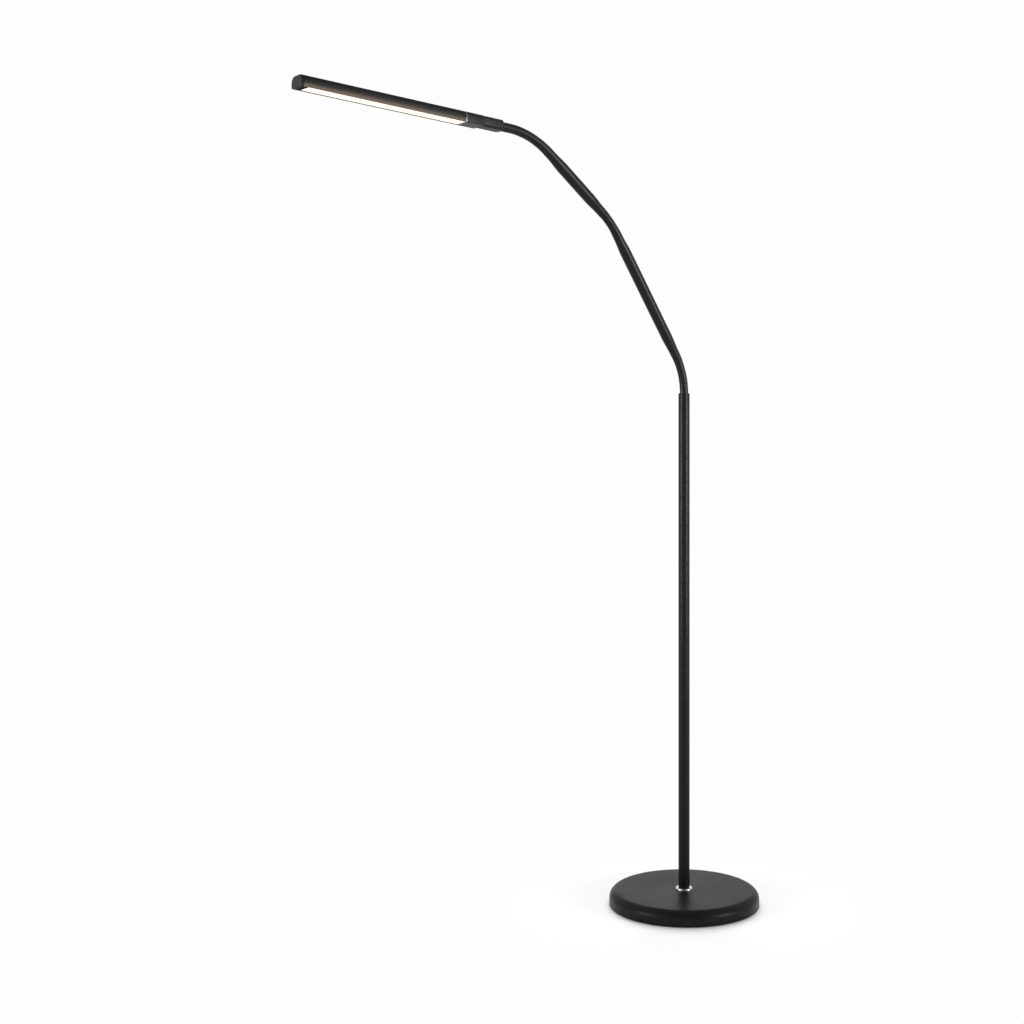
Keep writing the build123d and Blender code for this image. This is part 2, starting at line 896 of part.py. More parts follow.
def driver_board_top():
    """The lead lies on the board's upper face."""
    return upper_corner.Z - lead_radius


def make_driver_board():
    """Circuit board in the cavity of the root block."""
    x = button_place().position.X
    z = driver_board_top() - driver_board_thickness
    board = box_on(driver_board_length, driver_board_width, driver_board_thickness)
    return Pos(x, 0, z) * board


def make_root_cover():
    """Plate that closes the cavity from below."""
    return cover_seat(root_cover_clearance)


def make_trim_plate():
    """Thin bright plate between the root block and the housing."""
    plate = head_prism(root_front, trim_thickness)
    low = web_height + web_thickness + spigot_clearance
    opening = head_prism(root_front, trim_thickness, housing_wall + spigot_clearance)
    above_web = head_block(root_front, trim_thickness, head_width, low, head_height)
    return plate - (opening & above_web)


def make_head_housing():
    """Extruded aluminium bar: a closed chamber above a web, and the LED channel below it."""
    bar = head_prism(housing_back, housing_length)
    upper = head_prism(housing_back, housing_length, housing_wall)
    above_web = head_block(
        housing_back, housing_length, head_width, web_height + web_thickness, head_height
    )
    groove_top = lip_thickness + diffuser_thickness + diffuser_clearance
    groove = head_block(
        housing_back,
        housing_length,
        diffuser_width + 2 * diffuser_clearance,
        lip_thickness,
        groove_top,
    )
    window = head_block(housing_back, housing_length, window_width, -overcut, web_height)
    bar = bar - (upper & above_web) - groove - window
    for cut in housing_screw_places() * housing_screw_hole():
        bar -= cut
    return bar


def housing_screw_places():
    """Two screws through the roof of the housing into the spigot, pointing down."""
    x = (housing_back + head_way * housing_screw_setback).X
    z = head_bottom + head_height
    places = [Pos(x, side * housing_screw_spread / 2, z) for side in (-1, 1)]
    return [place * Rot(180, 0, 0) for place in places]


def housing_screw_hole():
    """Countersunk hole for a housing screw."""
    return turned(
        [
            (0, -overcut),
            (housing_screw_head_radius, -overcut),
            (housing_screw_head_radius, housing_screw_sink),
            (housing_screw_radius, housing_wall),
            (housing_screw_radius, housing_wall + overcut),
            (0, housing_wall + overcut),
        ]
    )


def make_housing_screws():
    """Countersunk screws, one solid each."""
    screw = turned(
        [
            (0, housing_screw_sink),
            (housing_screw_head_radius, housing_screw_sink),
            (housing_screw_radius, housing_wall),
            (housing_screw_radius, housing_screw_length),
            (0, housing_screw_length),
        ]
    )
    return Compound(children=[place * screw for place in housing_screw_places()])


def make_diffuser():
    """Opal strip in the groove above the lips, which stops short of the housing's front."""
    bottom = lip_thickness
    length = housing_length - window_end_strip
    return head_block(housing_back, length, diffuser_width, bottom, bottom + diffuser_thickness)


def make_led_board():
    """Aluminium backed board glued under the web."""
    start = housing_back + head_way * led_board_end_gap
    length = housing_length - 2 * led_board_end_gap
    return head_block(start, length, led_board_width, web_height - led_board_thickness, web_height)


def make_leds():
    """Row of LEDs under the board, one solid each."""
    length = housing_length - 2 * led_board_end_gap
    pitch = length / led_count
    top = web_height - led_board_thickness
    first = housing_back + head_way * (led_board_end_gap + pitch / 2 - led_size / 2)
    return Compound(
        children=[
            head_block(first + head_way * (pitch * place), led_size, led_size, top - led_thickness, top)
            for place in range(led_count)
        ]
    )


def make_end_cap():
    """Moulded cap with a shadow gap behind its face, and a plug in each of the two channels."""
    face_start = housing_front + head_way * end_cap_gap
    cap = head_prism(face_start, end_cap_length)
    outer = cap.faces().sort_by(Axis.X)[0]
    cap = fillet(outer.edges(), end_cap_edge_radius)
    gap_plate = head_prism(housing_front, end_cap_gap, housing_wall)
    plug_start = housing_front - head_way * end_cap_plug_length
    plug = head_prism(plug_start, end_cap_plug_length, housing_wall + spigot_clearance)
    low = web_height + web_thickness + spigot_clearance
    above_web = head_block(plug_start, end_cap_plug_length, head_width, low, head_height)
    strip_start = housing_front - head_way * (window_end_strip - diffuser_clearance)
    strip_length = window_end_strip - diffuser_clearance + end_cap_gap
    strip_width = window_width - 2 * diffuser_clearance
    strip_top = web_height - spigot_clearance
    strip = head_block(strip_start, strip_length, strip_width, end_strip_recess, strip_top)
    return cap + gap_plate + (plug & above_web) + strip


def make_head_ferrule():
    """Ball fitting at the end of the upper neck, clamped in the neck socket."""
    reach = upper_bend.joint_offset + head_sleeve_run()
    plug_length = grub_screw_setback + ferrule_past_grub_screw - sleeve_seat_depth
    ferrule = make_ball_ferrule(reach, socket_bore_radius, plug_length)
    return along(upper_bend.joint_3, head_way) * ferrule


def head_sleeve_run():
    """Straight run of the upper sleeve, from the end of its arc to the floor of its seat."""
    return (socket_back - upper_bend.end).length + sleeve_seat_depth


def make_head_lead():
    """Last stretch of the lead, through the swivel and onto the driver board."""
    start = upper_bend.end + head_way * head_sleeve_run()
    board_end = button_place().position.X + driver_board_length / 2
    length = start.X - board_end + tact_switch_size / 2
    return along(start, head_way) * rod(lead_radius, length)


# ---- The lamp -----------------------------------------------------------------------------
def base_nodes():
    """Everything that stays still: base, pole and the root of the lower neck."""
    root_reach = lower_bend.joint_1.Z - sleeve_seat
    root = make_socket_ferrule(root_reach, stud_radius, neck_thread_length)
    return {
        "base_shell": make_base_shell(),
        "base_weight": make_base_weight(),
        "base_plate": make_base_plate(),
        "base_plate_screws": make_base_plate_screws(),
        "base_pad": make_base_pad(),
        "base_stud": make_base_stud(),
        "stud_washer": make_stud_washer(),
        "stud_nut": make_stud_nut(),
        "check_ring": make_check_ring(),
        "cord_grommet": make_cord_grommet(),
        "lead_connector": make_lead_connector(),
        "pole_tube": make_pole_tube(),
        "pole_foot_bush": make_pole_foot_bush(),
        "pole_top_bush": make_pole_top_bush(),
        "neck_lock_nut": make_neck_lock_nut(),
        "pole_lead": make_pole_lead(),
        "lower_neck_root_ferrule": along(lower_bend.joint_1, lower_bend.way_in) * root,
    }


def head_nodes():
    """The neck socket, the swivel and the light bar."""
    return {
        "neck_socket": make_neck_socket(),
        "socket_grub_screw": make_socket_grub_screw(),
        "head_ferrule": make_head_ferrule(),
        "swivel_pin": make_swivel_pin(),
        "swivel_nut": make_swivel_nut(),
        "swivel_washer": make_swivel_washer(),
        "root_block": make_root_block(),
        "root_cover": make_root_cover(),
        "driver_board": make_driver_board(),
        "tact_switch": make_tact_switch(),
        "switch_button": make_switch_button(),
        "trim_plate": make_trim_plate(),
        "head_housing": make_head_housing(),
        "housing_screws": make_housing_screws(),
        "diffuser": make_diffuser(),
        "led_board": make_led_board(),
        "leds": make_leds(),
        "end_cap": make_end_cap(),
        "head_lead": make_head_lead(),
    }


def lamp_nodes():
    """Every piece of the lamp, by node name."""
    cuff = sleeve_cuff_length
    root_run = lower_bend.start.Z - sleeve_seat
    nodes = base_nodes()
    nodes.update(neck_nodes("lower_neck", lower_bend, root_run, cuff, False, True))
    nodes.update(arm_nodes("lower_arm", lower_bend, middle_bend))
    nodes.update(neck_nodes("middle_neck", middle_bend, cuff, cuff, True, True))
    nodes.update(arm_nodes("upper_arm", middle_bend, upper_bend))
    nodes.update(neck_nodes("upper_neck", upper_bend, cuff, head_sleeve_run(), True, False))
    nodes.update(head_nodes())
    return nodes


def main():
    os.makedirs("parts", exist_ok=True)
    for name, shape in lamp_nodes().items():
        shape.label = name
        export_step(shape, f"parts/{name}.step")
    for name, bend in (("lower", lower_bend), ("middle", middle_bend), ("upper", upper_bend)):
        print(name, "neck turns", round(degrees(bend.turn), 2), "links", round(bend.link_length, 2))
        for joint in (bend.joint_1, bend.joint_2, bend.joint_3):
            print("   joint", [round(v, 3) for v in joint])


main()
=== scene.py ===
# %% [markdown]
# # A gooseneck reading floor lamp
# A round weighted base, one straight pole, two rigid arm tubes on three flexible necks, and a slim
# bar of LEDs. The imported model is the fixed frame: every piece made here takes its place and its
# size from the frame, so nothing has to be fitted by hand. Lengths are metres, and Z is up. The
# arm lies in the XZ plane and points along -X.

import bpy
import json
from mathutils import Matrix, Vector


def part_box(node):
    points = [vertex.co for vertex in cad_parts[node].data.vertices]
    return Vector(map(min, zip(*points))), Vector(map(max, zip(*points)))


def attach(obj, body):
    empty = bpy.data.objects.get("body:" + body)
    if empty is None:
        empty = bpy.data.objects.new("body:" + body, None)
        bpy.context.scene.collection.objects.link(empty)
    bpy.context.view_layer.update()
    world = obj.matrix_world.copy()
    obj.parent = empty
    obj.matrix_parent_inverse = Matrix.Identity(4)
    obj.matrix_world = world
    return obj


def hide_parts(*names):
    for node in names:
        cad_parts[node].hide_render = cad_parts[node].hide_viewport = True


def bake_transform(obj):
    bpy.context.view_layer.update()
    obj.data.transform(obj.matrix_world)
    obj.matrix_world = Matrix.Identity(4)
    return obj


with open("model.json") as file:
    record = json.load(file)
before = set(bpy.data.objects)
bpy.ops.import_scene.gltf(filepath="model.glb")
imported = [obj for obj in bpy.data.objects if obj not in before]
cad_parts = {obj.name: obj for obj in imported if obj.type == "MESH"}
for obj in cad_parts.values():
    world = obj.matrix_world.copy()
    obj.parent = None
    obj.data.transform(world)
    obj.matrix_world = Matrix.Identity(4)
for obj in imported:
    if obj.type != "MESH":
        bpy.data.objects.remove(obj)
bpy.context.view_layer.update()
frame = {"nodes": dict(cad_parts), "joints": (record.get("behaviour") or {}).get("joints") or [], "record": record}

# %% Modules and one unit
import json
from math import cos, pi, radians, sin, tan

import bmesh
import bpy
from mathutils import Matrix, Vector

MM = 0.001

# %% [markdown]
# ## Where things are
# A joint's point and a node's box say where each part begins. Reading them once, into plain names,
# keeps every later cell short and free of typed coordinates.


# %% Places from the frame
def joint_named(name):
    return next(joint for joint in frame["joints"] if joint["name"] == name)


def joint_point(name):
    """Rest position of a joint, as a vector."""
    return Vector(joint_named(name)["pos_m"])


def joint_travel(name):
    """How far a sliding joint can go."""
    return max(abs(limit) for limit in joint_named(name)["range_m"])


def low(node):
    return Vector(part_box(node)[0])


def high(node):
    return Vector(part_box(node)[1])


base_radius = high("base_shell").x
base_top = high("base_shell").z
rim_bottom = low("base_shell").z
pole_radius = high("pole_tube").x
pole_top = high("pole_tube").z
print("base radius", round(base_radius, 4), "pole top", round(pole_top, 4))

# %% [markdown]
# ## Helpers for meshes
# Most of the lamp is turned, drawn or extruded, so two helpers make nearly every piece: one turns a
# profile round an axis, and one lofts a skin through outlines. Building faces from rings of points
# keeps the quads even, which a reflection on satin paint shows at once when they are not. Others
# hand the mesh on with smooth shading and crisp edges, and turn modifiers into plain mesh.


# %% Hand a mesh on as an object
CREASE_ANGLE = radians(32)
SAME_PLACE = 1e-7


def new_object(name, data):
    piece = bpy.data.objects.new(name, data)
    bpy.context.scene.collection.objects.link(piece)
    return piece


def shade(mesh, crease=CREASE_ANGLE):
    """Smooth shading that keeps every edge past the crease angle sharp."""
    mesh.shade_smooth()
    mesh.set_sharp_from_angle(angle=crease)


def evaluated_mesh(piece):
    """Plain mesh of a piece as its modifiers leave it."""
    bpy.context.view_layer.update()
    evaluated = piece.evaluated_get(bpy.context.evaluated_depsgraph_get())
    return bpy.data.meshes.new_from_object(evaluated)


def apply_modifiers(piece, crease=CREASE_ANGLE):
    """Makes the modifiers' result the piece's own mesh, and removes them."""
    mesh = evaluated_mesh(piece)
    piece.modifiers.clear()
    piece.data = mesh
    shade(mesh, crease)


# %% Loft a skin through rings
def shares(steps):
    """Evenly spaced numbers from 0 to 1."""
    return [k / steps for k in range(steps + 1)]


def from_rings(name, rings, closed_round=True, close_along=False, caps=True):
    """Skin through rings of points, with a flat cap at each end unless the skin closes on itself."""
    bm = bmesh.new()
    loops = [[bm.verts.new(point) for point in ring] for ring in rings]
    sides = len(loops[0])
    pairs = list(zip(loops, loops[1:]))
    if close_along:
        pairs.append((loops[-1], loops[0]))
    for one, two in pairs:
        for k in range(sides if closed_round else sides - 1):
            n = (k + 1) % sides
            bm.faces.new((one[k], one[n], two[n], two[k]))
    if caps and not close_along:
        bm.faces.new(list(reversed(loops[0])))
        bm.faces.new(loops[-1])
    bmesh.ops.remove_doubles(bm, verts=bm.verts, dist=SAME_PLACE)
    bmesh.ops.dissolve_degenerate(bm, edges=bm.edges, dist=SAME_PLACE / 10)
    bmesh.ops.recalc_face_normals(bm, faces=bm.faces)
    mesh = bpy.data.meshes.new(name)
    bm.to_mesh(mesh)
    bm.free()
    shade(mesh)
    return new_object(name, mesh)


# %% Turn a profile round an axis
TURNED_SIDES = 128


def axis_place(origin, way):
    """Matrix that puts Z along a direction, and X across the lamp."""
    z = Vector(way).normalized()
    x = Vector((0, -1, 0)) if abs(z.y) < 0.9 else Vector((1, 0, 0))
    y = z.cross(x).normalized()
    x = y.cross(z)
    turn = Matrix((x, y, z)).transposed().to_4x4()
    return Matrix.Translation(origin) @ turn


def turned(name, profile, place=Matrix.Identity(4), sides=TURNED_SIDES):
    """Closed solid of revolution from (radius, height) points that run round the section."""
    rings = []
    for radius, height in profile:
        ring = []
        for k in range(sides):
            angle = 2 * pi * k / sides
            ring.append(place @ Vector((radius * cos(angle), radius * sin(angle), height)))
        rings.append(ring)
    on_axis = profile[0][0] == 0 and profile[-1][0] == 0
    return from_rings(name, rings, close_along=not on_axis, caps=False)


def arc(centre, radius, start, end, steps=8):
    """Points of an arc in a section, by angles in degrees."""
    angles = [radians(start + (end - start) * share) for share in shares(steps)]
    return [(centre[0] + radius * cos(a), centre[1] + radius * sin(a)) for a in angles]


# %% [markdown]
# ## Finishes
# The lamp is nearly all black, so its finishes differ in gloss and in grain, not in colour: powder
# coat with a fine orange peel on the tubes and base, smooth satin rubber on the necks, matt moulded
# plastic on the blocks, and anodised aluminium on the bar. A `finish` helper builds the part that
# they share: one shader, a slow noise that varies the gloss as handling does, and a fine noise for
# the grain. The helper adds nodes only where a value changes over the surface.


# %% Helpers for nodes
def feed(tree, socket, value):
    """Gives an input a plain value, or links it to another node's output."""
    if isinstance(value, bpy.types.NodeSocket):
        tree.links.new(value, socket)
    else:
        socket.default_value = value


def math_node(tree, operation, *values):
    """Result of one arithmetic node."""
    node = tree.nodes.new("ShaderNodeMath")
    node.operation = operation
    for socket, value in zip(node.inputs, values):
        feed(tree, socket, value)
    return node.outputs["Value"]


def vector_node(tree, operation, result, *values):
    """One output of a vector arithmetic node."""
    node = tree.nodes.new("ShaderNodeVectorMath")
    node.operation = operation
    for socket, value in zip(node.inputs, values):
        feed(tree, socket, value)
    return node.outputs[result]


def mapped(tree, value, first, last, low_value, high_value, kind="SMOOTHSTEP"):
    """A value carried from one range to another."""
    node = tree.nodes.new("ShaderNodeMapRange")
    node.interpolation_type = kind
    names = ("Value", "From Min", "From Max", "To Min", "To Max")
    for name, item in zip(names, (value, first, last, low_value, high_value)):
        feed(tree, node.inputs[name], item)
    return node.outputs["Result"]


def mixed_colour(tree, factor, one, two):
    node = tree.nodes.new("ShaderNodeMix")
    node.data_type = "RGBA"
    node.inputs["A"].default_value = one
    node.inputs["B"].default_value = two
    tree.links.new(factor, node.inputs["Factor"])
    return node.outputs["Result"]


def object_place(tree):
    """Place on the piece, in metres, which moves with it."""
    return tree.nodes.new("ShaderNodeTexCoord").outputs["Object"]


def apart(tree, vector):
    """A vector's X, Y and Z."""
    node = tree.nodes.new("ShaderNodeSeparateXYZ")
    tree.links.new(vector, node.inputs["Vector"])
    return node.outputs


# %% The shared finish
HANDLING = {"scale": 14.0, "detail": 3.0}
SPECKLE = {"scale": 90.0, "detail": 4.0}
SPECKLE_DEPTHS = (0.82, 1.18)
GRAIN_DETAIL = 2.0
NOISE_LOW = 0.3
NOISE_HIGH = 0.7


def noise(tree, place, scale, detail):
    """Noise with so many patches per metre."""
    node = tree.nodes.new("ShaderNodeTexNoise")
    node.inputs["Scale"].default_value = scale
    node.inputs["Detail"].default_value = detail
    tree.links.new(place, node.inputs["Vector"])
    return node.outputs["Fac"]


def spread_out(tree, source, low_value, high_value):
    """A noise's middle range, carried to two values."""
    return mapped(tree, source, NOISE_LOW, NOISE_HIGH, low_value, high_value, "LINEAR")


def finish(name, colour, roughness, spread, grain, grain_height, specular=0.5, metallic=0.0):
    """A finish whose gloss varies slowly, with a fine grain."""
    material = bpy.data.materials.new(name)
    material.use_nodes = True
    tree = material.node_tree
    shader = tree.nodes["Principled BSDF"].inputs
    shader["Metallic"].default_value = metallic
    shader["Specular IOR Level"].default_value = specular
    place = object_place(tree)
    handling = noise(tree, place, **HANDLING)
    gloss = spread_out(tree, handling, roughness - spread, roughness + spread)
    tree.links.new(gloss, shader["Roughness"])
    speckle = spread_out(tree, noise(tree, place, **SPECKLE), 0.0, 1.0)
    dark, light = ([value * depth for value in colour] + [1] for depth in SPECKLE_DEPTHS)
    tree.links.new(mixed_colour(tree, speckle, dark, light), shader["Base Color"])
    bump = tree.nodes.new("ShaderNodeBump")
    bump.inputs["Strength"].default_value = 1.0
    bump.inputs["Distance"].default_value = grain_height * MM
    tree.links.new(noise(tree, place, grain, GRAIN_DETAIL), bump.inputs["Height"])
    tree.links.new(bump.outputs["Normal"], shader["Normal"])
    return material


# %% The lamp's finishes
# Colour, roughness and its spread, grains per metre and their height in millimetres. Then, where it
# isn't a half, how strongly the surface mirrors, and 1 for metal.
RECIPES = {
    "pole_paint": ((0.006, 0.006, 0.0062), 0.37, 0.03, 900, 0.0025, 0.12),
    "base_paint": ((0.007, 0.007, 0.0073), 0.38, 0.03, 800, 0.003, 0.12),
    "arm_paint": ((0.006, 0.006, 0.0062), 0.36, 0.03, 900, 0.0025, 0.12),
    "sleeve_rubber": ((0.006, 0.006, 0.0062), 0.38, 0.03, 1500, 0.002, 0.12),
    "head_plastic": ((0.0075, 0.0075, 0.0078), 0.42, 0.03, 2200, 0.002, 0.14),
    "cap_plastic": ((0.0095, 0.0092, 0.0102), 0.42, 0.03, 2200, 0.002, 0.16),
    # The plug's finish is blacker and more matt than the cap's: painted shade for the recess that it fills.
    "plug_shade_black": ((0.004, 0.004, 0.004), 0.65, 0.03, 2200, 0.003, 0.04),
    "bar_skin": ((0.006, 0.0059, 0.0057), 0.40, 0.03, 1600, 0.0015, 0.12),
    "button_plastic": ((0.040, 0.040, 0.042), 0.42, 0.03, 2200, 0.006),
    "black_rubber": ((0.016, 0.016, 0.016), 0.60, 0.05, 1800, 0.008),
    "foam_pad": ((0.022, 0.022, 0.022), 0.90, 0.05, 1400, 0.12),
    "chrome_trim": ((0.80, 0.81, 0.84), 0.28, 0.03, 500, 0.001, 0.5, 1.0),
    "bright_trim": ((0.42, 0.415, 0.40), 0.45, 0.03, 3000, 0.001, 0.5, 1.0),
    "zinc_steel": ((0.52, 0.53, 0.55), 0.34, 0.06, 1200, 0.003, 0.5, 1.0),
    "iron_weight": ((0.10, 0.10, 0.105), 0.78, 0.06, 700, 0.08),
    "lead_jacket": ((0.020, 0.020, 0.020), 0.45, 0.04, 2500, 0.004),
    "inner_plastic": ((0.07, 0.07, 0.075), 0.45, 0.04, 2200, 0.006),
    "board_white": ((0.82, 0.82, 0.80), 0.38, 0.03, 2600, 0.003),
    "board_green": ((0.02, 0.16, 0.06), 0.30, 0.04, 2600, 0.004),
    "led_phosphor": ((0.90, 0.66, 0.20), 0.35, 0.04, 3000, 0.003),
    "opal_diffuser": ((0.62, 0.60, 0.55), 0.42, 0.03, 900, 0.002),
}
finishes = {name: finish(name, *recipe) for name, recipe in RECIPES.items()}
print("finishes:", len(finishes))

# %% [markdown]
# ### The bar's anodised skin, with the light that spills on it
# The lit strip throws a little warm light on the lower half of the bar's sides, strongest at the
# lip. The real spill comes from the glow of the opal strip's edge, which a mesh this thin can't
# carry, so the skin adds a faint warm emission that fades with height above the bar's underside.
# Height is read from Object coordinates, so the glow stays on the bar wherever the head goes.

# %% Glow on a finish
head_bottom = low("head_housing").z
SPILL_HEIGHT = 7.5 * MM
SPILL_COLOUR = (0.150, 0.101, 0.060, 1)
NO_GLOW = (0, 0, 0, 1)


def add_glow(tree, factor, one, two, strength):
    """Emission on a finish, of a colour between two."""
    shader = tree.nodes["Principled BSDF"].inputs
    tree.links.new(mixed_colour(tree, factor, one, two), shader["Emission Color"])
    shader["Emission Strength"].default_value = strength


def light_the_bar(tree):
    height = apart(tree, tree.nodes["Texture Coordinate"].outputs["Object"])["Z"]
    fade = mapped(tree, height, head_bottom, head_bottom + SPILL_HEIGHT, 1.0, 0.0)
    add_glow(tree, fade, NO_GLOW, SPILL_COLOUR, 1.0)


light_the_bar(finishes["bar_skin"].node_tree)

# %% [markdown]
# ### The lit opal strip
# Milky acrylic sends back only part of the light that falls on it, and glows with what comes from
# behind. The glow is a little stronger over each LED, and a little warmer towards the strip's sides.

# %% Opal strip, lit
OPAL_GLOW = 0.75
GLOW_MIDDLE = (1.0, 0.94, 0.68, 1)
GLOW_SIDE = (0.90, 0.81, 0.54, 1)
LED_COUNT = 30
LED_SIZE = 2.8 * MM
led_pitch = (high("leds").x - low("leds").x - LED_SIZE) / (LED_COUNT - 1)
first_led = low("leds").x + LED_SIZE / 2
strip_half = high("diffuser").y


def light_the_strip(tree):
    """Strongest over each LED and along the middle."""
    start = tree.nodes["Texture Coordinate"].outputs["Object"]
    place = apart(tree, vector_node(tree, "SUBTRACT", "Vector", start, (first_led, 0, 0)))
    from_led = math_node(tree, "PINGPONG", place["X"], led_pitch / 2)
    from_middle = math_node(tree, "ABSOLUTE", place["Y"])
    distance = math_node(tree, "ADD", from_led, from_middle)
    fade = mapped(tree, distance, 0.0, strip_half + led_pitch / 2, 0.0, 1.0)
    add_glow(tree, fade, GLOW_MIDDLE, GLOW_SIDE, OPAL_GLOW)


light_the_strip(finishes["opal_diffuser"].node_tree)

# %% [markdown]
# ## The parts that stay as the frame has them
# Screws, washers, bushes and boards inside the lamp already have their true shape. They only need
# a finish in their material slot, by the name that the record gives it.


# %% Paint the frame's own nodes
finish_of_slot = dict(finishes, black_anodised=finishes["bar_skin"])
slot_of = {part["node"]: part["material_slot"] for part in frame["record"]["subparts"]}
for node, piece in frame["nodes"].items():
    piece.data.materials.clear()
    piece.data.materials.append(finish_of_slot[slot_of[node]])
print("painted", len(slot_of), "nodes")

body_of = {}
for body, members in frame["record"]["behaviour"]["bodies"].items():
    for node in members:
        body_of[node] = body


def stand_for(piece, node):
    """The piece hides the node, joins its body, and takes the finish of the node's slot if it has none."""
    if not piece.data.materials:
        piece.data.materials.append(finish_of_slot[slot_of[node]])
    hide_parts(node)
    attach(piece, body_of[node])
    print(piece.name, "stands for", node, "with", len(piece.data.polygons), "faces")


# %% [markdown]
# ## Base
# A spun steel cover over a cast iron disc. What sells it is the large rolled edge: a quarter round
# between the flat top and the upright rim, ended by a tight hem at the bottom where the sheet is
# turned in. It is turned from one profile, and a cutter opens the notch for the cord grommet at the
# back.

# %% Base cover
EDGE_RADIUS = 13.6 * MM
SHEET = 1.5 * MM
HEM = 0.5 * MM
FLAT_RINGS = (20 * MM, 45 * MM, 80 * MM)
STUD_HOLE = 5.2 * MM


def cover_profile():
    edge = (base_radius - EDGE_RADIUS, base_top - EDGE_RADIUS)
    outside = (
        [(radius, base_top) for radius in (STUD_HOLE, *FLAT_RINGS)]
        + arc(edge, EDGE_RADIUS, 90, 0, 24)
        + arc((base_radius - HEM, rim_bottom + HEM), HEM, 0, -90, 4)
    )
    inside = arc(edge, EDGE_RADIUS - SHEET, 0, 90, 16)
    return outside + [(base_radius - SHEET, rim_bottom)] + inside + [(STUD_HOLE, base_top - SHEET)]


cover = turned("base_cover", cover_profile(), sides=192)

# %% Notch for the grommet
inlet = next(mount for mount in frame["record"]["mounts"] if mount["name"] == "cord_inlet")
lead_height = inlet["pos_m"][2]
NOTCH_RADIUS = 3.9 * MM


def notch_cutter():
    """Upright U shape across the back of the rim."""
    start = base_radius - 5 * SHEET
    end = base_radius + 2 * SHEET
    arch = arc((0, lead_height), NOTCH_RADIUS, 0, 180, 24)
    outline = arch + [(-NOTCH_RADIUS, -NOTCH_RADIUS), (NOTCH_RADIUS, -NOTCH_RADIUS)]
    rings = [[Vector((x, y, z)) for y, z in outline] for x in (start, end)]
    return from_rings("notch_cutter", rings)


def cut_away(piece, cutter):
    """Takes the cutter's shape out of a piece, and removes the cutter."""
    modifier = piece.modifiers.new("cut", "BOOLEAN")
    modifier.operation = "DIFFERENCE"
    modifier.solver = "EXACT"
    modifier.object = cutter
    apply_modifiers(piece)
    bpy.data.objects.remove(cutter)


cut_away(cover, notch_cutter())
stand_for(cover, "base_shell")

# %% [markdown]
# ### Grommet
# Moulded rubber with a soft lip each side of the rim. It is lofted from U shaped rings, each a
# little larger or smaller than the one before, which gives the lip its round edge. The hole for the
# cord is bored through afterwards.

# %% Grommet
INLET_RADIUS = 2.0 * MM
GROMMET_LIP = 4.9 * MM
GROMMET_BODY = 3.8 * MM
LIP_ROUND = 0.45 * MM
LIP_WIDTH = 1.4 * MM


def grommet_ring(x, radius):
    foot = max(lead_height - radius, rim_bottom)
    arch = arc((0, lead_height), radius, -20, 200, 40)
    return [Vector((x, y, max(z, foot))) for y, z in arch]


def make_grommet():
    inside = low("cord_grommet").x
    outside = high("cord_grommet").x
    stations = [
        (inside, GROMMET_LIP - LIP_ROUND),
        (inside + LIP_ROUND, GROMMET_LIP),
        (inside + LIP_WIDTH, GROMMET_LIP),
        (inside + LIP_WIDTH, GROMMET_BODY),
        (outside - LIP_WIDTH, GROMMET_BODY),
        (outside - LIP_WIDTH, GROMMET_LIP),
        (outside - LIP_ROUND, GROMMET_LIP),
        (outside - LIP_ROUND * 0.3, GROMMET_LIP - LIP_ROUND * 0.3),
        (outside, GROMMET_LIP - LIP_ROUND),
    ]
    grommet = from_rings("grommet", [grommet_ring(x, radius) for x, radius in stations])
    reach = 5 * MM
    hole = [(0, -reach), (INLET_RADIUS, -reach), (INLET_RADIUS, reach), (0, reach)]
    middle = Vector(((outside + inside) / 2, 0, lead_height))
    cut_away(grommet, turned("drill", hole, axis_place(middle, (1, 0, 0)), 48))
    return grommet


stand_for(make_grommet(), "cord_grommet")

# %% [markdown]
# ### What the lamp stands on
# A thin plate closes the base, and a foam disc under it protects the floor. Only their edges show,
# as the dark line between the base and the floor, unless the lamp is tipped over.

# %% Plate and pad
def disc(name, node, edge):
    """Round disc as large as a node, with both edges rounded."""
    radius = high(node).x
    bottom = low(node).z
    top = high(node).z
    lower = arc((radius - edge, bottom + edge), edge, -90, 0, 3)
    upper = arc((radius - edge, top - edge), edge, 0, 90, 3)
    stand_for(turned(name, [(0, bottom)] + lower + upper + [(0, top)]), node)


disc("bottom_plate", "base_plate", edge=0.3 * MM)
disc("foam_foot", "base_pad", edge=1.2 * MM)

# %% [markdown]
# ## Pole and its chromed ring
# The ring that hides the joint between pole and base is a rounded band in satin chrome. Metal shows
# its whole surroundings, so its section is a true round, in many small steps. The pole is a plain
# tube whose top lip is rolled over a little.

# %% Check ring
RING_ROUND = 2.4 * MM
RING_FOOT = 0.25 * MM
RING_PLAY = 0.2 * MM


def ring_profile():
    radius = high("check_ring").x
    top = high("check_ring").z
    return (
        [(pole_radius, base_top)]
        + arc((radius - RING_FOOT, base_top + RING_FOOT), RING_FOOT, -90, 0, 4)
        + arc((radius - RING_ROUND, top - RING_ROUND), RING_ROUND, 0, 90, 14)
        + [(pole_radius + RING_PLAY, top), (pole_radius, top)]
    )


stand_for(turned("check_ring_polished", ring_profile()), "check_ring")

# %% Pole
POLE_WALL = 1.2 * MM
LIP = 0.5 * MM


def pole_profile():
    bore = pole_radius - POLE_WALL
    lip = arc((pole_radius - LIP, pole_top - LIP), LIP, 0, 90, 6)
    heights = [base_top + (pole_top - base_top) * share for share in shares(12)[:-1]]
    return [(pole_radius, z) for z in heights] + lip + [(bore, pole_top), (bore, base_top)]


stand_for(turned("pole", pole_profile()), "pole_tube")

# %% Bush in the pole's top
THREAD_RADIUS = 5.0 * MM
SEAT_DEPTH = 6.0 * MM
BUSH_LIP = 0.4 * MM
SEAT_RADIUS = 7.3 * MM


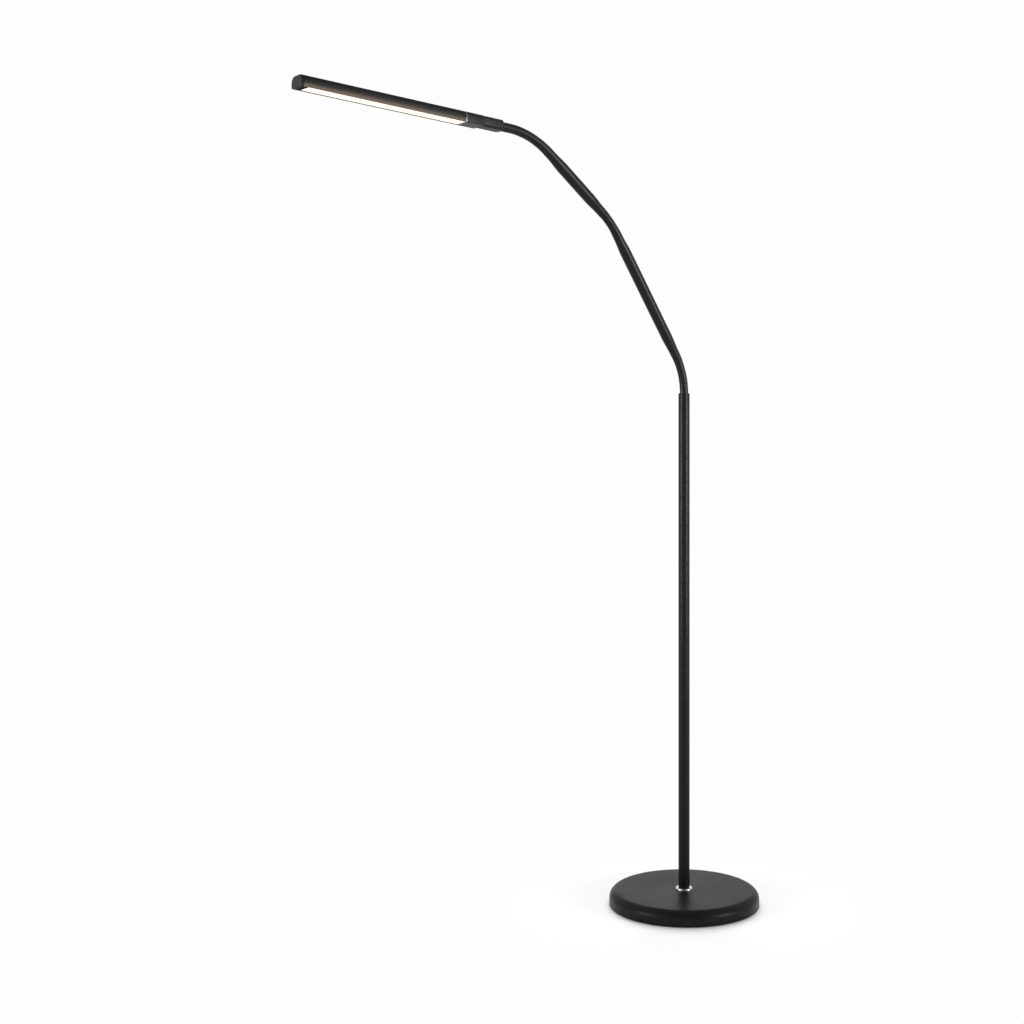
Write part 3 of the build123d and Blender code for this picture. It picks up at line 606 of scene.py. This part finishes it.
def bush_profile():
    outer = high("pole_top_bush").x
    bottom = low("pole_top_bush").z
    top = high("pole_top_bush").z
    seat = top - SEAT_DEPTH
    return (
        [(THREAD_RADIUS, bottom), (outer, bottom), (outer, top)]
        + arc((SEAT_RADIUS + BUSH_LIP, top - BUSH_LIP), BUSH_LIP, 90, 180, 4)
        + [(SEAT_RADIUS, seat), (THREAD_RADIUS, seat)]
    )


stand_for(turned("pole_collar", bush_profile()), "pole_top_bush")

# %% [markdown]
# ## Flexible necks
# On the real lamp, a rubber sleeve is drawn over a stiff spine that holds whatever bend it is given.
# The sleeve is a tube on a path, a little narrower in the middle than at its ends, so a node tree
# makes it: trim the path, give it a radius that follows a rule, and sweep a circle along it. The
# same tree makes the lead inside. Each neck bends at three joints, and a sleeve that bends across
# three joints has to be three pieces: one tree, fed with three ranges of the same path, makes them
# so that they meet exactly.


# %% Tree: a tube on a path
TUBE_END = 7.7 * MM
WAIST = 7.1 * MM
TUBE_INPUTS = {
    "Start": 0.0,
    "End": 1.0,
    "Waist radius": WAIST,
    "First radius": TUBE_END,
    "Last radius": TUBE_END,
    "Flare": 0.35,
    "Spacing": 1.0 * MM,
}


def tube_tree():
    tree = bpy.data.node_groups.new("tube_on_a_path", "GeometryNodeTree")
    face = tree.interface
    face.new_socket("Geometry", in_out="INPUT", socket_type="NodeSocketGeometry")
    for name, value in TUBE_INPUTS.items():
        socket = face.new_socket(name, in_out="INPUT", socket_type="NodeSocketFloat")
        socket.default_value = value
    face.new_socket("Sides", in_out="INPUT", socket_type="NodeSocketInt").default_value = 48
    face.new_socket("Finish", in_out="INPUT", socket_type="NodeSocketMaterial")
    face.new_socket("Geometry", in_out="OUTPUT", socket_type="NodeSocketGeometry")
    given = tree.nodes.new("NodeGroupInput").outputs
    link = tree.links.new

    trim = tree.nodes.new("GeometryNodeTrimCurve")
    link(given["Geometry"], trim.inputs["Curve"])
    link(given["Start"], trim.inputs["Start"])
    link(given["End"], trim.inputs["End"])
    even = tree.nodes.new("GeometryNodeResampleCurve")
    even.mode = "LENGTH"
    link(trim.outputs["Curve"], even.inputs["Curve"])
    link(given["Spacing"], even.inputs["Length"])

    along = tree.nodes.new("GeometryNodeSplineParameter").outputs["Factor"]
    span = math_node(tree, "SUBTRACT", given["End"], given["Start"])
    share = math_node(tree, "ADD", given["Start"], math_node(tree, "MULTIPLY", along, span))
    first = math_node(tree, "SUBTRACT", given["First radius"], given["Waist radius"])
    last = math_node(tree, "SUBTRACT", given["Last radius"], given["Waist radius"])
    late = math_node(tree, "SUBTRACT", 1.0, given["Flare"])
    flare_in = mapped(tree, share, 0.0, given["Flare"], first, 0.0)
    flare_out = mapped(tree, share, late, 1.0, 0.0, last)
    flare = math_node(tree, "ADD", flare_in, flare_out)
    radius = math_node(tree, "ADD", given["Waist radius"], flare)

    circle = tree.nodes.new("GeometryNodeCurvePrimitiveCircle")
    circle.inputs["Radius"].default_value = 1.0
    link(given["Sides"], circle.inputs["Resolution"])
    sweep = tree.nodes.new("GeometryNodeCurveToMesh")
    link(even.outputs["Curve"], sweep.inputs["Curve"])
    link(radius, sweep.inputs["Scale"])
    link(circle.outputs["Curve"], sweep.inputs["Profile Curve"])
    real = tree.nodes.new("GeometryNodeRealizeInstances")
    link(sweep.outputs["Mesh"], real.inputs["Geometry"])
    coat = tree.nodes.new("GeometryNodeSetMaterial")
    link(real.outputs["Geometry"], coat.inputs["Geometry"])
    link(given["Finish"], coat.inputs["Material"])
    link(coat.outputs["Geometry"], tree.nodes.new("NodeGroupOutput").inputs["Geometry"])
    return tree


tube = tube_tree()


# %% Run a tree and keep its mesh
def grow(name, carrier, tree, values):
    """Runs a tree on a carrier object and returns the result as a plain object."""
    modifier = carrier.modifiers.new("grow", "NODES")
    modifier.node_group = tree
    sockets = {item.name: item for item in tree.interface.items_tree if item.in_out == "INPUT"}
    for key, value in values.items():
        modifier[sockets[key].identifier] = value
    mesh = evaluated_mesh(carrier)
    carrier.modifiers.remove(modifier)
    mesh.name = name
    return new_object(name, mesh)


# %% The path of a neck
class Neck:
    """Middle line of a neck, worked out from its three joints and the way it starts."""

    def __init__(self, name, way_in):
        self.name = name
        self.joints = [joint_point(f"{name}_{part}") for part in ("pitch_1", "turn", "pitch_2")]
        first, middle, last = self.joints
        half = (middle - first).length / 2
        self.way_in = Vector(way_in).normalized()
        self.step = self.way_in.angle(middle - first)
        self.radius = half / tan(self.step / 2)
        axis = self.way_in.cross(middle - first).normalized()
        self.way_out = Matrix.Rotation(3 * self.step, 3, axis) @ self.way_in
        self.start = first - self.way_in * half
        self.end = last + self.way_out * half
        self.cuts = [self.start, (first + middle) / 2, (middle + last) / 2, self.end]
        self.arc_length = 3 * self.step * self.radius


lower_neck = Neck("lower_neck", (0, 0, 1))
middle_neck = Neck("middle_neck", joint_point("middle_neck_pitch_1") - lower_neck.end)
upper_neck = Neck("upper_neck", joint_point("upper_neck_pitch_1") - middle_neck.end)
for neck in (lower_neck, middle_neck, upper_neck):
    print(neck.name, "bend radius", round(neck.radius, 4), "length", round(neck.arc_length, 4))

# %% Routes with rounded corners
ROUTE_STEP = radians(1.0)


def rounded_route(corners, radius):
    """Points along straight runs joined by tangent arcs of one radius."""
    points = [corners[0].copy()]
    for before, corner, after in zip(corners, corners[1:], corners[2:]):
        way_in = (corner - before).normalized()
        way_out = (after - corner).normalized()
        turn = way_in.angle(way_out)
        inwards = (way_out - way_in).normalized()
        centre = corner + inwards * (radius / cos(turn / 2))
        start = corner - way_in * (radius * tan(turn / 2))
        axis = way_in.cross(way_out).normalized()
        steps = max(2, round(turn / ROUTE_STEP))
        for k in range(steps + 1):
            spin = Matrix.Rotation(turn * k / steps, 3, axis)
            points.append(centre + spin @ (start - centre))
    points.append(corners[-1].copy())
    return points


def route_object(name, points):
    curve = bpy.data.curves.new(name, "CURVE")
    curve.dimensions = "3D"
    spline = curve.splines.new("POLY")
    spline.points.add(len(points) - 1)
    for place, point in zip(spline.points, points):
        place.co = (*point, 1)
    return new_object(name, curve)


# %% [markdown]
# ### Sleeves and leads, piece by piece
# Each neck's sleeve and lead are made as three pieces, each round one joint. The middle of a link is
# the natural place for a cut: there the sleeve runs exactly along the link.

# %% Neck pieces
SLEEVE_WALL = 1.3 * MM
SLEEVE_CREASE = radians(60)
LEAD_RADIUS = 1.5 * MM
LEAD_WALL = 0.9 * MM
LEAD_CORNER = 40 * MM


def wall_inwards(piece, thickness):
    """Gives an open tube its wall, towards the inside."""
    modifier = piece.modifiers.new("wall", "SOLIDIFY")
    modifier.thickness = thickness
    modifier.offset = -1.0
    apply_modifiers(piece, SLEEVE_CREASE)


def neck_pieces(neck, route, what, shares_along, values, wall):
    """Three pieces of one tube, each round one joint of the neck."""
    node = f"{neck.name}_{what}"
    carrier = route_object(f"{node}_route", route)
    for k in range(3):
        ranged = dict(values, Start=shares_along[k], End=shares_along[k + 1])
        piece = grow(f"{node}_{k + 1}", carrier, tube, ranged)
        wall_inwards(piece, wall)
        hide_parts(node)
        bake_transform(piece)
    bpy.data.objects.remove(carrier)


def tube_values(waist, first, last, spacing, sides, material):
    values = (waist, first, last, spacing, sides, material)
    names = ("Waist radius", "First radius", "Last radius", "Spacing", "Sides", "Finish")
    return dict(zip(names, values))


def dress_neck(neck, before, after, first_radius, last_radius):
    """Sleeve and lead of a neck, which reach a little way into what holds it."""
    first = neck.start - neck.way_in * before
    last = neck.end + neck.way_out * after
    third = neck.arc_length / 3
    whole = before + neck.arc_length + after
    cuts = [0.0, (before + third) / whole, (before + 2 * third) / whole, 1.0]
    corner = neck.start + neck.way_in * (neck.radius * tan(1.5 * neck.step))
    sleeve_route = rounded_route([first, corner, last], neck.radius)
    sleeve = tube_values(WAIST, first_radius, last_radius, 1.0 * MM, 64, finishes["sleeve_rubber"])
    neck_pieces(neck, sleeve_route, "sleeve", cuts, sleeve, SLEEVE_WALL)
    lead_route = rounded_route([first, *neck.joints, last], LEAD_CORNER)
    lead = tube_values(*[LEAD_RADIUS] * 3, 2.0 * MM, 16, finishes["lead_jacket"])
    neck_pieces(neck, lead_route, "lead", cuts, lead, LEAD_WALL)


CUFF = 6.0 * MM
seat_floor = low("lower_neck_sleeve").z
socket_seat = low("upper_neck_sleeve").x
dress_neck(
    lower_neck, lower_neck.start.z - seat_floor, CUFF, WAIST, TUBE_END
)
dress_neck(middle_neck, CUFF, CUFF, TUBE_END, TUBE_END)
dress_neck(
    upper_neck, CUFF, upper_neck.end.x - socket_seat, TUBE_END, WAIST
)

# %% [markdown]
# ## Arm tubes
# Each rigid tube is swaged down at both ends until it meets the sleeve's cuff, with no visible step.
# A straight cone would show a hard line in the reflections, so the taper here is a smooth step.

# %% Tubes
TUBE_RADIUS = 9.0 * MM
TUBE_WALL = 1.2 * MM
TAPER = 30 * MM
TAPER_STEPS = 16


def smoothstep(x):
    return x * x * (3 - 2 * x)


def tube_profile(length):
    swell = TUBE_RADIUS - TUBE_END
    start = [(TUBE_END + swell * smoothstep(x), x * TAPER) for x in shares(TAPER_STEPS)]
    outside = start + [(radius, length - height) for radius, height in reversed(start)]
    return outside + [(radius - TUBE_WALL, height) for radius, height in reversed(outside)]


def arm_tube(name, neck_before, neck_after):
    start = neck_before.end + neck_before.way_out * CUFF
    end = neck_after.start - neck_after.way_in * CUFF
    profile = tube_profile((end - start).length)
    piece = turned(f"{name}_drawn", profile, axis_place(start, end - start), 96)
    stand_for(piece, f"{name}_tube")


arm_tube("lower_arm", lower_neck, middle_neck)
arm_tube("upper_arm", middle_neck, upper_neck)

# %% [markdown]
# ## Head
# Block, trim, bar and end cap share one D shaped section: flat below, upright sides, and two large
# upper corners. A function gives that outline with any inset, always with the same number of
# points, so that rings of it can be lofted into rounded ends.

# %% The head's outline
HEAD_WIDTH = 27.0 * MM
HEAD_HEIGHT = 16.5 * MM
TOP_ROUND = 7.0 * MM
BOTTOM_ROUND = 1.5 * MM
LEAST_ROUND = 0.3 * MM


def d_outline(inset=0.0, softer=0.0):
    """Section as (y, z above the head's underside). A softer one has wider upper corners."""
    half = HEAD_WIDTH / 2 - inset
    top = HEAD_HEIGHT - inset
    upper = max(TOP_ROUND + softer - inset, LEAST_ROUND)
    lower = max(BOTTOM_ROUND - inset, LEAST_ROUND)
    return (
        arc((half - lower, inset + lower), lower, -90, 0, 5)
        + arc((half - upper, top - upper), upper, 0, 90, 14)
        + arc((-half + upper, top - upper), upper, 90, 180, 14)
        + arc((-half + lower, inset + lower), lower, 180, 270, 5)
    )


def head_ring(x, outline):
    return [Vector((x, y, head_bottom + z)) for y, z in outline]


def rounded_bar(name, x_from, x_to, round_from, round_to, steps=5):
    """Length of the section with rounded rims, from one x to a smaller one."""
    stations = []
    back = (x_from - round_from, round_from, 0)
    front = (x_to + round_to, round_to, pi / 2)
    for centre, edge, turn in (back, front):
        for share in shares(steps):
            angle = turn + pi / 2 * share
            stations.append((centre + edge * cos(angle), edge * (1 - sin(angle))))
    return from_rings(name, [head_ring(x, d_outline(inset)) for x, inset in stations])


# %% [markdown]
# ### The two blocks
# The neck socket is lofted from a near circle round the sleeve out to a rounded rectangle, as a
# moulding is drawn in where a round thing enters it. The root block has the bar's own section. Its
# cover lies in a step underneath, with a fine seam all round, and its button stands in a hole.


# %% Neck socket
SOCKET_WIDTH = 21.5 * MM
SOCKET_HEIGHT = 16.2 * MM
SOCKET_ROUND = 4.5 * MM
MOUTH_WALL = 0.6 * MM
SOCKET_TAPER = 4.0 * MM
SOCKET_EDGE = 0.5 * MM
MOUTH_BREAK = 0.2 * MM
socket_back = high("neck_socket").x
socket_front = low("neck_socket").x
axis_z = joint_point("head_twist").z


def rounded_rectangle(width, height, radius, steps=12):
    """Outline of a rounded rectangle about the neck's axis, as (y, z)."""
    across = width / 2 - radius
    up = height / 2 - radius
    points = []
    for quarter, (y, z) in enumerate([(across, up), (-across, up), (-across, -up), (across, -up)]):
        points += arc((y, z), radius, 90 * quarter, 90 * quarter + 90, steps)
    return points


def socket_ring(x, outline):
    return [Vector((x, y, axis_z + z)) for y, z in outline]


def make_socket():
    mouth = SEAT_RADIUS + MOUTH_WALL
    rings = []
    for depth, radius in (
        (SEAT_DEPTH, SEAT_RADIUS * 0.5),
        (SEAT_DEPTH, SEAT_RADIUS),
        (MOUTH_BREAK, SEAT_RADIUS),
        (0, SEAT_RADIUS + MOUTH_BREAK),
    ):
        outline = rounded_rectangle(2 * radius, 2 * radius, radius)
        rings.append(socket_ring(socket_back - depth, outline))
    for share in shares(8):
        swell = sin(pi / 2 * share)
        width = 2 * mouth + (SOCKET_WIDTH - 2 * mouth) * swell
        height = 2 * mouth + (SOCKET_HEIGHT - 2 * mouth) * swell
        corner = SEAT_RADIUS + (SOCKET_ROUND - SEAT_RADIUS) * swell
        outline = rounded_rectangle(width, height, corner)
        rings.append(socket_ring(socket_back - SOCKET_TAPER * share, outline))
    for share in shares(4):
        inset = SOCKET_EDGE * (1 - cos(pi / 2 * share))
        x = socket_front + SOCKET_EDGE * (1 - sin(pi / 2 * share))
        sides = (SOCKET_WIDTH - 2 * inset, SOCKET_HEIGHT - 2 * inset)
        rings.append(socket_ring(x, rounded_rectangle(*sides, SOCKET_ROUND - inset)))
    return from_rings("collar_block", rings)


neck_block = make_socket()

# %% Hole for the grub screw
GRUB_RADIUS = 2.0 * MM
GRUB_HOLE = GRUB_RADIUS + 0.05 * MM
GRUB_FLOOR = 5.6 * MM
grub_profile = [(0, 0), (GRUB_HOLE, 0), (GRUB_HOLE, SOCKET_WIDTH), (0, SOCKET_WIDTH)]
grub_start = Vector((high("socket_grub_screw").x - GRUB_RADIUS, GRUB_FLOOR, axis_z))
cut_away(neck_block, turned("grub_drill", grub_profile, axis_place(grub_start, (0, 1, 0)), 48))
stand_for(neck_block, "neck_socket")

# %% Root block
BUTTON_RADIUS = 4.5 * MM
BUTTON_FLANGE = 5.4 * MM
FLANGE_HEIGHT = 1.0 * MM
BUTTON_PLAY = 0.1 * MM
button_top = high("switch_button").z
button_bottom = low("switch_button").z
button_travel = joint_travel("switch_press")
ROOT_EDGE_BACK = 1.5 * MM
ROOT_EDGE_FRONT = 0.15 * MM
SEAM = 0.1 * MM
TWIST_GAP = 0.6 * MM
root_back = joint_point("head_twist").x - TWIST_GAP
root_front = high("trim_plate").x
button_x = (low("switch_button").x + high("switch_button").x) / 2


def box_cutter(name, lowest, highest):
    """Plain block between two corners."""
    (x_low, y_low, z_low), (x_high, y_high, z_high) = lowest, highest
    corners = [(y_low, z_low), (y_high, z_low), (y_high, z_high), (y_low, z_high)]
    return from_rings(name, [[Vector((x, y, z)) for y, z in corners] for x in (x_low, x_high)])


def button_hole():
    """Stepped hole: a pocket for the button's flange, and a narrower mouth that keeps it in."""
    floor = button_bottom - button_travel - BUTTON_PLAY
    step = button_bottom + FLANGE_HEIGHT + BUTTON_PLAY
    pocket = BUTTON_FLANGE + BUTTON_PLAY
    mouth = BUTTON_RADIUS + BUTTON_PLAY
    top = head_bottom + HEAD_HEIGHT + MM
    return [(0, floor), (pocket, floor), (pocket, step), (mouth, step), (mouth, top), (0, top)]


root = rounded_bar("root_body", root_back, root_front, ROOT_EDGE_BACK, ROOT_EDGE_FRONT)
cover_low = low("root_cover") - Vector((SEAM, SEAM, MM))
cover_high = high("root_cover") + Vector((SEAM, SEAM, 0))
cut_away(root, box_cutter("cover_cutter", cover_low, cover_high))
cut_away(root, turned("button_drill", button_hole(), Matrix.Translation((button_x, 0, 0)), 96))
stand_for(root, "root_block")

# %% Button
BUTTON_EDGE = 0.5 * MM
DISH = 0.45 * MM


def button_profile():
    """Dished top, rounded rim, and the flange that keeps the button in."""
    top = button_top - button_bottom
    rim = BUTTON_RADIUS - BUTTON_EDGE
    dish = [(rim * (1 - share), top - DISH * smoothstep(share)) for share in shares(8)]
    return (
        [(0, 0), (BUTTON_FLANGE, 0)]
        + [(radius, FLANGE_HEIGHT) for radius in (BUTTON_FLANGE, BUTTON_RADIUS)]
        + arc((rim, top - BUTTON_EDGE), BUTTON_EDGE, 0, 90, 6)
        + dish[1:]
    )


button_place = Matrix.Translation((button_x, 0, button_bottom))
stand_for(turned("push_button", button_profile(), button_place, 96), "switch_button")

# %% [markdown]
# ### Trim, bar and end cap
# The trim is a thin bright plate that catches the light as one vertical line. The bar is an
# extrusion: its outline runs round the outside, turns in under the two lips, and follows the
# channel that holds the opal strip. The cap repeats the section with soft shoulders and a soft front
# edge, behind a dark shadow gap. Its plug fills the channel ahead of the opal strip.

# %% Trim
TRIM_EDGE = 0.1 * MM
trim_ends = (high("trim_plate").x, low("trim_plate").x)
trim = rounded_bar("bright_line", *trim_ends, TRIM_EDGE, TRIM_EDGE, 3)
stand_for(trim, "trim_plate")

# %% Bar
LIP_HEIGHT = 0.9 * MM
LIP_ROUND_BAR = 0.25 * MM
WINDOW_HALF = 10.9 * MM
GROOVE_HALF = 11.8 * MM
GROOVE_TOP = 2.5 * MM
CHANNEL_TOP = 7.0 * MM
bar_back = high("head_housing").x
bar_front = low("head_housing").x


def channel_outline():
    """Outside of the section, then the channel, open below."""
    outside = d_outline()
    lip = arc((WINDOW_HALF + LIP_ROUND_BAR, LIP_ROUND_BAR), LIP_ROUND_BAR, -90, -180, 3)
    right = lip + [
        (WINDOW_HALF, LIP_HEIGHT),
        (GROOVE_HALF, LIP_HEIGHT),
        (GROOVE_HALF, GROOVE_TOP),
        (WINDOW_HALF, GROOVE_TOP),
        (WINDOW_HALF, CHANNEL_TOP),
    ]
    left = [(-y, z) for y, z in reversed(right)]
    return outside + list(reversed([*right, *left]))


bar = from_rings("light_bar", [head_ring(x, channel_outline()) for x in (bar_back, bar_front)])

# %% Countersunk holes on the bar
SCREW_ASIDE = 6.0 * MM
SINK_DEPTH = 1.5 * MM
SHANK_RADIUS = 1.25 * MM
SINK_RADIUS = 2.45 * MM
SINK_RISE = 1.4 * MM
screw_x = (low("housing_screws").x + high("housing_screws").x) / 2


def sink_profile():
    """Shank hole, cone and the room above the screw's head."""
    cone = [(SHANK_RADIUS, -MM), (SINK_RADIUS, SINK_RISE), (SINK_RADIUS, 2 * SINK_DEPTH)]
    return [(0, -MM), *cone, (0, 2 * SINK_DEPTH)]


for side in (-1, 1):
    sink_floor = (screw_x, side * SCREW_ASIDE, head_bottom + HEAD_HEIGHT - SINK_DEPTH)
    cut_away(bar, turned("sink", sink_profile(), Matrix.Translation(sink_floor), 48))
stand_for(bar, "head_housing")

# %% Opal strip
STRIP_EDGE = 0.2 * MM
STRIP_HALF = 11.7 * MM
STRIP_THICKNESS = 1.5 * MM
PLUG_LENGTH = 8.5 * MM


def make_strip():
    side = STRIP_HALF - STRIP_EDGE
    bottom = LIP_HEIGHT + STRIP_EDGE
    top = LIP_HEIGHT + STRIP_THICKNESS - STRIP_EDGE
    outline = []
    for quarter, (y, z) in enumerate([(side, bottom), (side, top), (-side, top), (-side, bottom)]):
        outline += arc((y, z), STRIP_EDGE, 90 * quarter - 90, 90 * quarter, 3)
    ends = (high("diffuser").x, bar_front + PLUG_LENGTH)
    return from_rings("opal_strip", [head_ring(x, outline) for x in ends])


stand_for(make_strip(), "diffuser")

# %% End cap
CAP_EDGE = 2.4 * MM
CAP_SHOULDER = 4.5 * MM
CAP_LENGTH = 3.2 * MM
CAP_GAP = 1.2 * MM
CAP_BREAK = 0.15 * MM
NECK_INSET = 1.6 * MM
PLUG_HALF = 10.8 * MM
PLUG_BOTTOM = 0.4 * MM
PLUG_TOP = 5.6 * MM


def make_cap():
    """Neck of the cap in the shadow gap, then its face with a soft front edge."""
    front = low("end_cap").x
    back = front + CAP_LENGTH
    neck = [(back + CAP_GAP, NECK_INSET), (back, NECK_INSET)]
    rim = [(back, CAP_BREAK), (back - CAP_BREAK, 0)]
    rings = [head_ring(x, d_outline(inset)) for x, inset in neck + rim]
    for share in shares(8):
        inset = CAP_EDGE * (1 - cos(pi / 2 * share))
        x = front + CAP_EDGE * (1 - sin(pi / 2 * share))
        rings.append(head_ring(x, d_outline(inset, CAP_SHOULDER * share)))
    return from_rings("cap_front", rings)


def make_plug():
    """The cap's plug, which closes the window ahead of the strip. Its extra dark finish is painted shade."""
    corners = [(-1, PLUG_BOTTOM), (1, PLUG_BOTTOM), (1, PLUG_TOP), (-1, PLUG_TOP)]
    outline = [(side * PLUG_HALF, z) for side, z in corners]
    ends = (bar_front + PLUG_LENGTH, bar_front - CAP_GAP)
    plug = from_rings("cap_strip", [head_ring(x, outline) for x in ends])
    plug.data.materials.append(finishes["plug_shade_black"])
    return plug


stand_for(make_cap(), "end_cap")
stand_for(make_plug(), "end_cap")

# %% [markdown]
# ## Light, floor and camera
# Plain soft studio light. The camera sees white paper everywhere. The lamp is lit by a wide band of
# light between dim walls, which runs from the camera's side over the lamp to the back, where it is
# brightest: that gives the even light, and the soft shadow in front of the base. Gloss sees other
# things: bright paper behind the lamp and a pale panel at each side, in a nearly dark room, which
# is what keeps black satin black. A tall softbox at each side, with a grid that keeps its light off
# the floor, draws the two pale bands on the pole.

# %% World
PAPER = 0.985
WALLS = 0.15
BAND_FRONT = 1.3
BAND_BACK = 6.5
BAND_SLOPE = (0.10, 0.84)
BAND_END = (0.84, 0.93)
BAND_SIDE = (0.20, 0.44)
ROOM_SHEEN = 0.06
PANEL_SHEEN = 0.70
PANEL_EDGE = (0.25, 0.60)
VIEW_TURN = radians(43.88)
PATCH_RISE = radians(7)
PATCH_EDGE = (cos(radians(38)), cos(radians(12)))
view_way = Vector((sin(VIEW_TURN), cos(VIEW_TURN), 0))
side_way = Vector((cos(VIEW_TURN), -sin(VIEW_TURN), 0))
patch_way = view_way * cos(PATCH_RISE) + Vector((0, 0, sin(PATCH_RISE)))


def share_towards(tree, way):
    """How far the direction of a world ray points along a way, from -1 to 1."""
    ray = tree.nodes.new("ShaderNodeTexCoord").outputs["Generated"]
    return vector_node(tree, "DOT_PRODUCT", "Value", ray, way)


def either(tree, names):
    """One for a ray of any of the named kinds."""
    rays = tree.nodes.new("ShaderNodeLightPath").outputs
    total = rays[names[0]]
    for name in names[1:]:
        total = math_node(tree, "MAXIMUM", total, rays[name])
    return total


def studio_world():
    world = bpy.data.worlds.new("studio")
    world.use_nodes = True
    tree = world.node_tree
    background = tree.nodes["Background"].inputs
    background["Color"].default_value = (1, 1, 1, 1)
    aside = math_node(tree, "ABSOLUTE", share_towards(tree, side_way))
    back = share_towards(tree, view_way)
    slope = mapped(tree, back, *BAND_SLOPE, BAND_FRONT, BAND_BACK, "LINEAR")
    band = mapped(tree, back, *BAND_END, slope, WALLS)
    room = mapped(tree, aside, *BAND_SIDE, band, WALLS)
    patch = mapped(tree, share_towards(tree, patch_way), *PATCH_EDGE, ROOM_SHEEN, PAPER)
    panels = mapped(tree, aside, *PANEL_EDGE, ROOM_SHEEN, PANEL_SHEEN)
    sheen = math_node(tree, "MAXIMUM", patch, panels)
    glossy = either(tree, ["Is Glossy Ray", "Is Transmission Ray"])
    light = mapped(tree, glossy, 0.0, 1.0, room, sheen, "LINEAR")
    seen = mapped(tree, either(tree, ["Is Camera Ray"]), 0.0, 1.0, light, PAPER, "LINEAR")
    tree.links.new(seen, background["Strength"])
    bpy.context.scene.world = world


studio_world()

# %% Floor
FLOOR_SIZE = 80.0
FLOOR_GREY = 0.88
SHADOW_ROOM = 0.18
PAPER_FROM = 0.34


def studio_floor():
    """White paper: truly lit round the base, so that it holds the shadow, and flat paper beyond."""
    half = FLOOR_SIZE / 2
    rows = [[(-half, y, 0), (half, y, 0)] for y in (-half, half)]
    floor = from_rings("floor", rows, closed_round=False, caps=False)
    material = bpy.data.materials.new("floor_paper")
    material.use_nodes = True
    tree = material.node_tree
    shader = tree.nodes["Principled BSDF"]
    shader.inputs["Base Color"].default_value = (FLOOR_GREY, FLOOR_GREY, FLOOR_GREY, 1)
    shader.inputs["Roughness"].default_value = 0.9
    shader.inputs["Specular IOR Level"].default_value = 0.0
    paper = tree.nodes.new("ShaderNodeEmission")
    paper.inputs["Strength"].default_value = PAPER
    reach = vector_node(tree, "LENGTH", "Value", object_place(tree))
    far = mapped(tree, reach, SHADOW_ROOM, PAPER_FROM, 0.0, 1.0)
    seen = either(tree, ["Is Camera Ray", "Is Glossy Ray", "Is Transmission Ray"])
    mix = tree.nodes.new("ShaderNodeMixShader")
    sources = (math_node(tree, "MULTIPLY", far, seen), shader.outputs[0], paper.outputs[0])
    for socket, source in zip(mix.inputs, sources):
        tree.links.new(source, socket)
    tree.links.new(mix.outputs["Shader"], tree.nodes["Material Output"].inputs["Surface"])
    floor.data.materials.append(material)


studio_floor()

# %% Softboxes
SOFTBOX_HEIGHT = 1.1
GRID_SPREAD = radians(50)


def softbox(name, turn, distance, width, height, power):
    """Upright softbox, turned from the camera's side to the right in degrees, facing the pole."""
    way = -pi / 2 - VIEW_TURN + radians(turn)
    light = bpy.data.lights.new(name, "AREA")
    light.shape = "RECTANGLE"
    light.size = width
    light.size_y = height
    light.energy = power
    light.spread = GRID_SPREAD
    lamp = new_object(name, light)
    lamp.location = (distance * cos(way), distance * sin(way), SOFTBOX_HEIGHT)
    lamp.rotation_euler = (pi / 2, 0, way + pi / 2)
    lamp.visible_camera = False


softbox("left_softbox", turn=-63, distance=2.6, width=0.5, height=1.4, power=7.0)
softbox("right_softbox", turn=60, distance=2.6, width=0.8, height=1.4, power=9.0)

# %% [markdown]
# ### Camera
# A level camera, a little above the middle of the lamp, 44 degrees to the left of square on. The
# photograph's frame isn't centred on its lens axis: the base's ellipse leans, and the pole stands
# upright, only for an axis at the column and row below, so the view is shifted by that much.

# %% Camera
CAMERA_PLACE = (-1.7256, -1.6099, 0.736)
FOCAL_PIXELS = 1387.8
IMAGE_PIXELS = 1024
SENSOR = 36.0
AXIS_COLUMN = 608.7
HORIZON_ROW = 470.2


def product_camera():
    data = bpy.data.cameras.new("camera")
    data.sensor_width = SENSOR
    data.lens = FOCAL_PIXELS / IMAGE_PIXELS * SENSOR
    data.shift_x = 0.5 - AXIS_COLUMN / IMAGE_PIXELS
    data.shift_y = HORIZON_ROW / IMAGE_PIXELS - 0.5
    camera = new_object("camera", data)
    camera.location = CAMERA_PLACE
    camera.rotation_euler = (pi / 2, 0, -VIEW_TURN)
    bpy.context.scene.camera = camera


product_camera()
bpy.context.scene.view_settings.view_transform = "Standard"
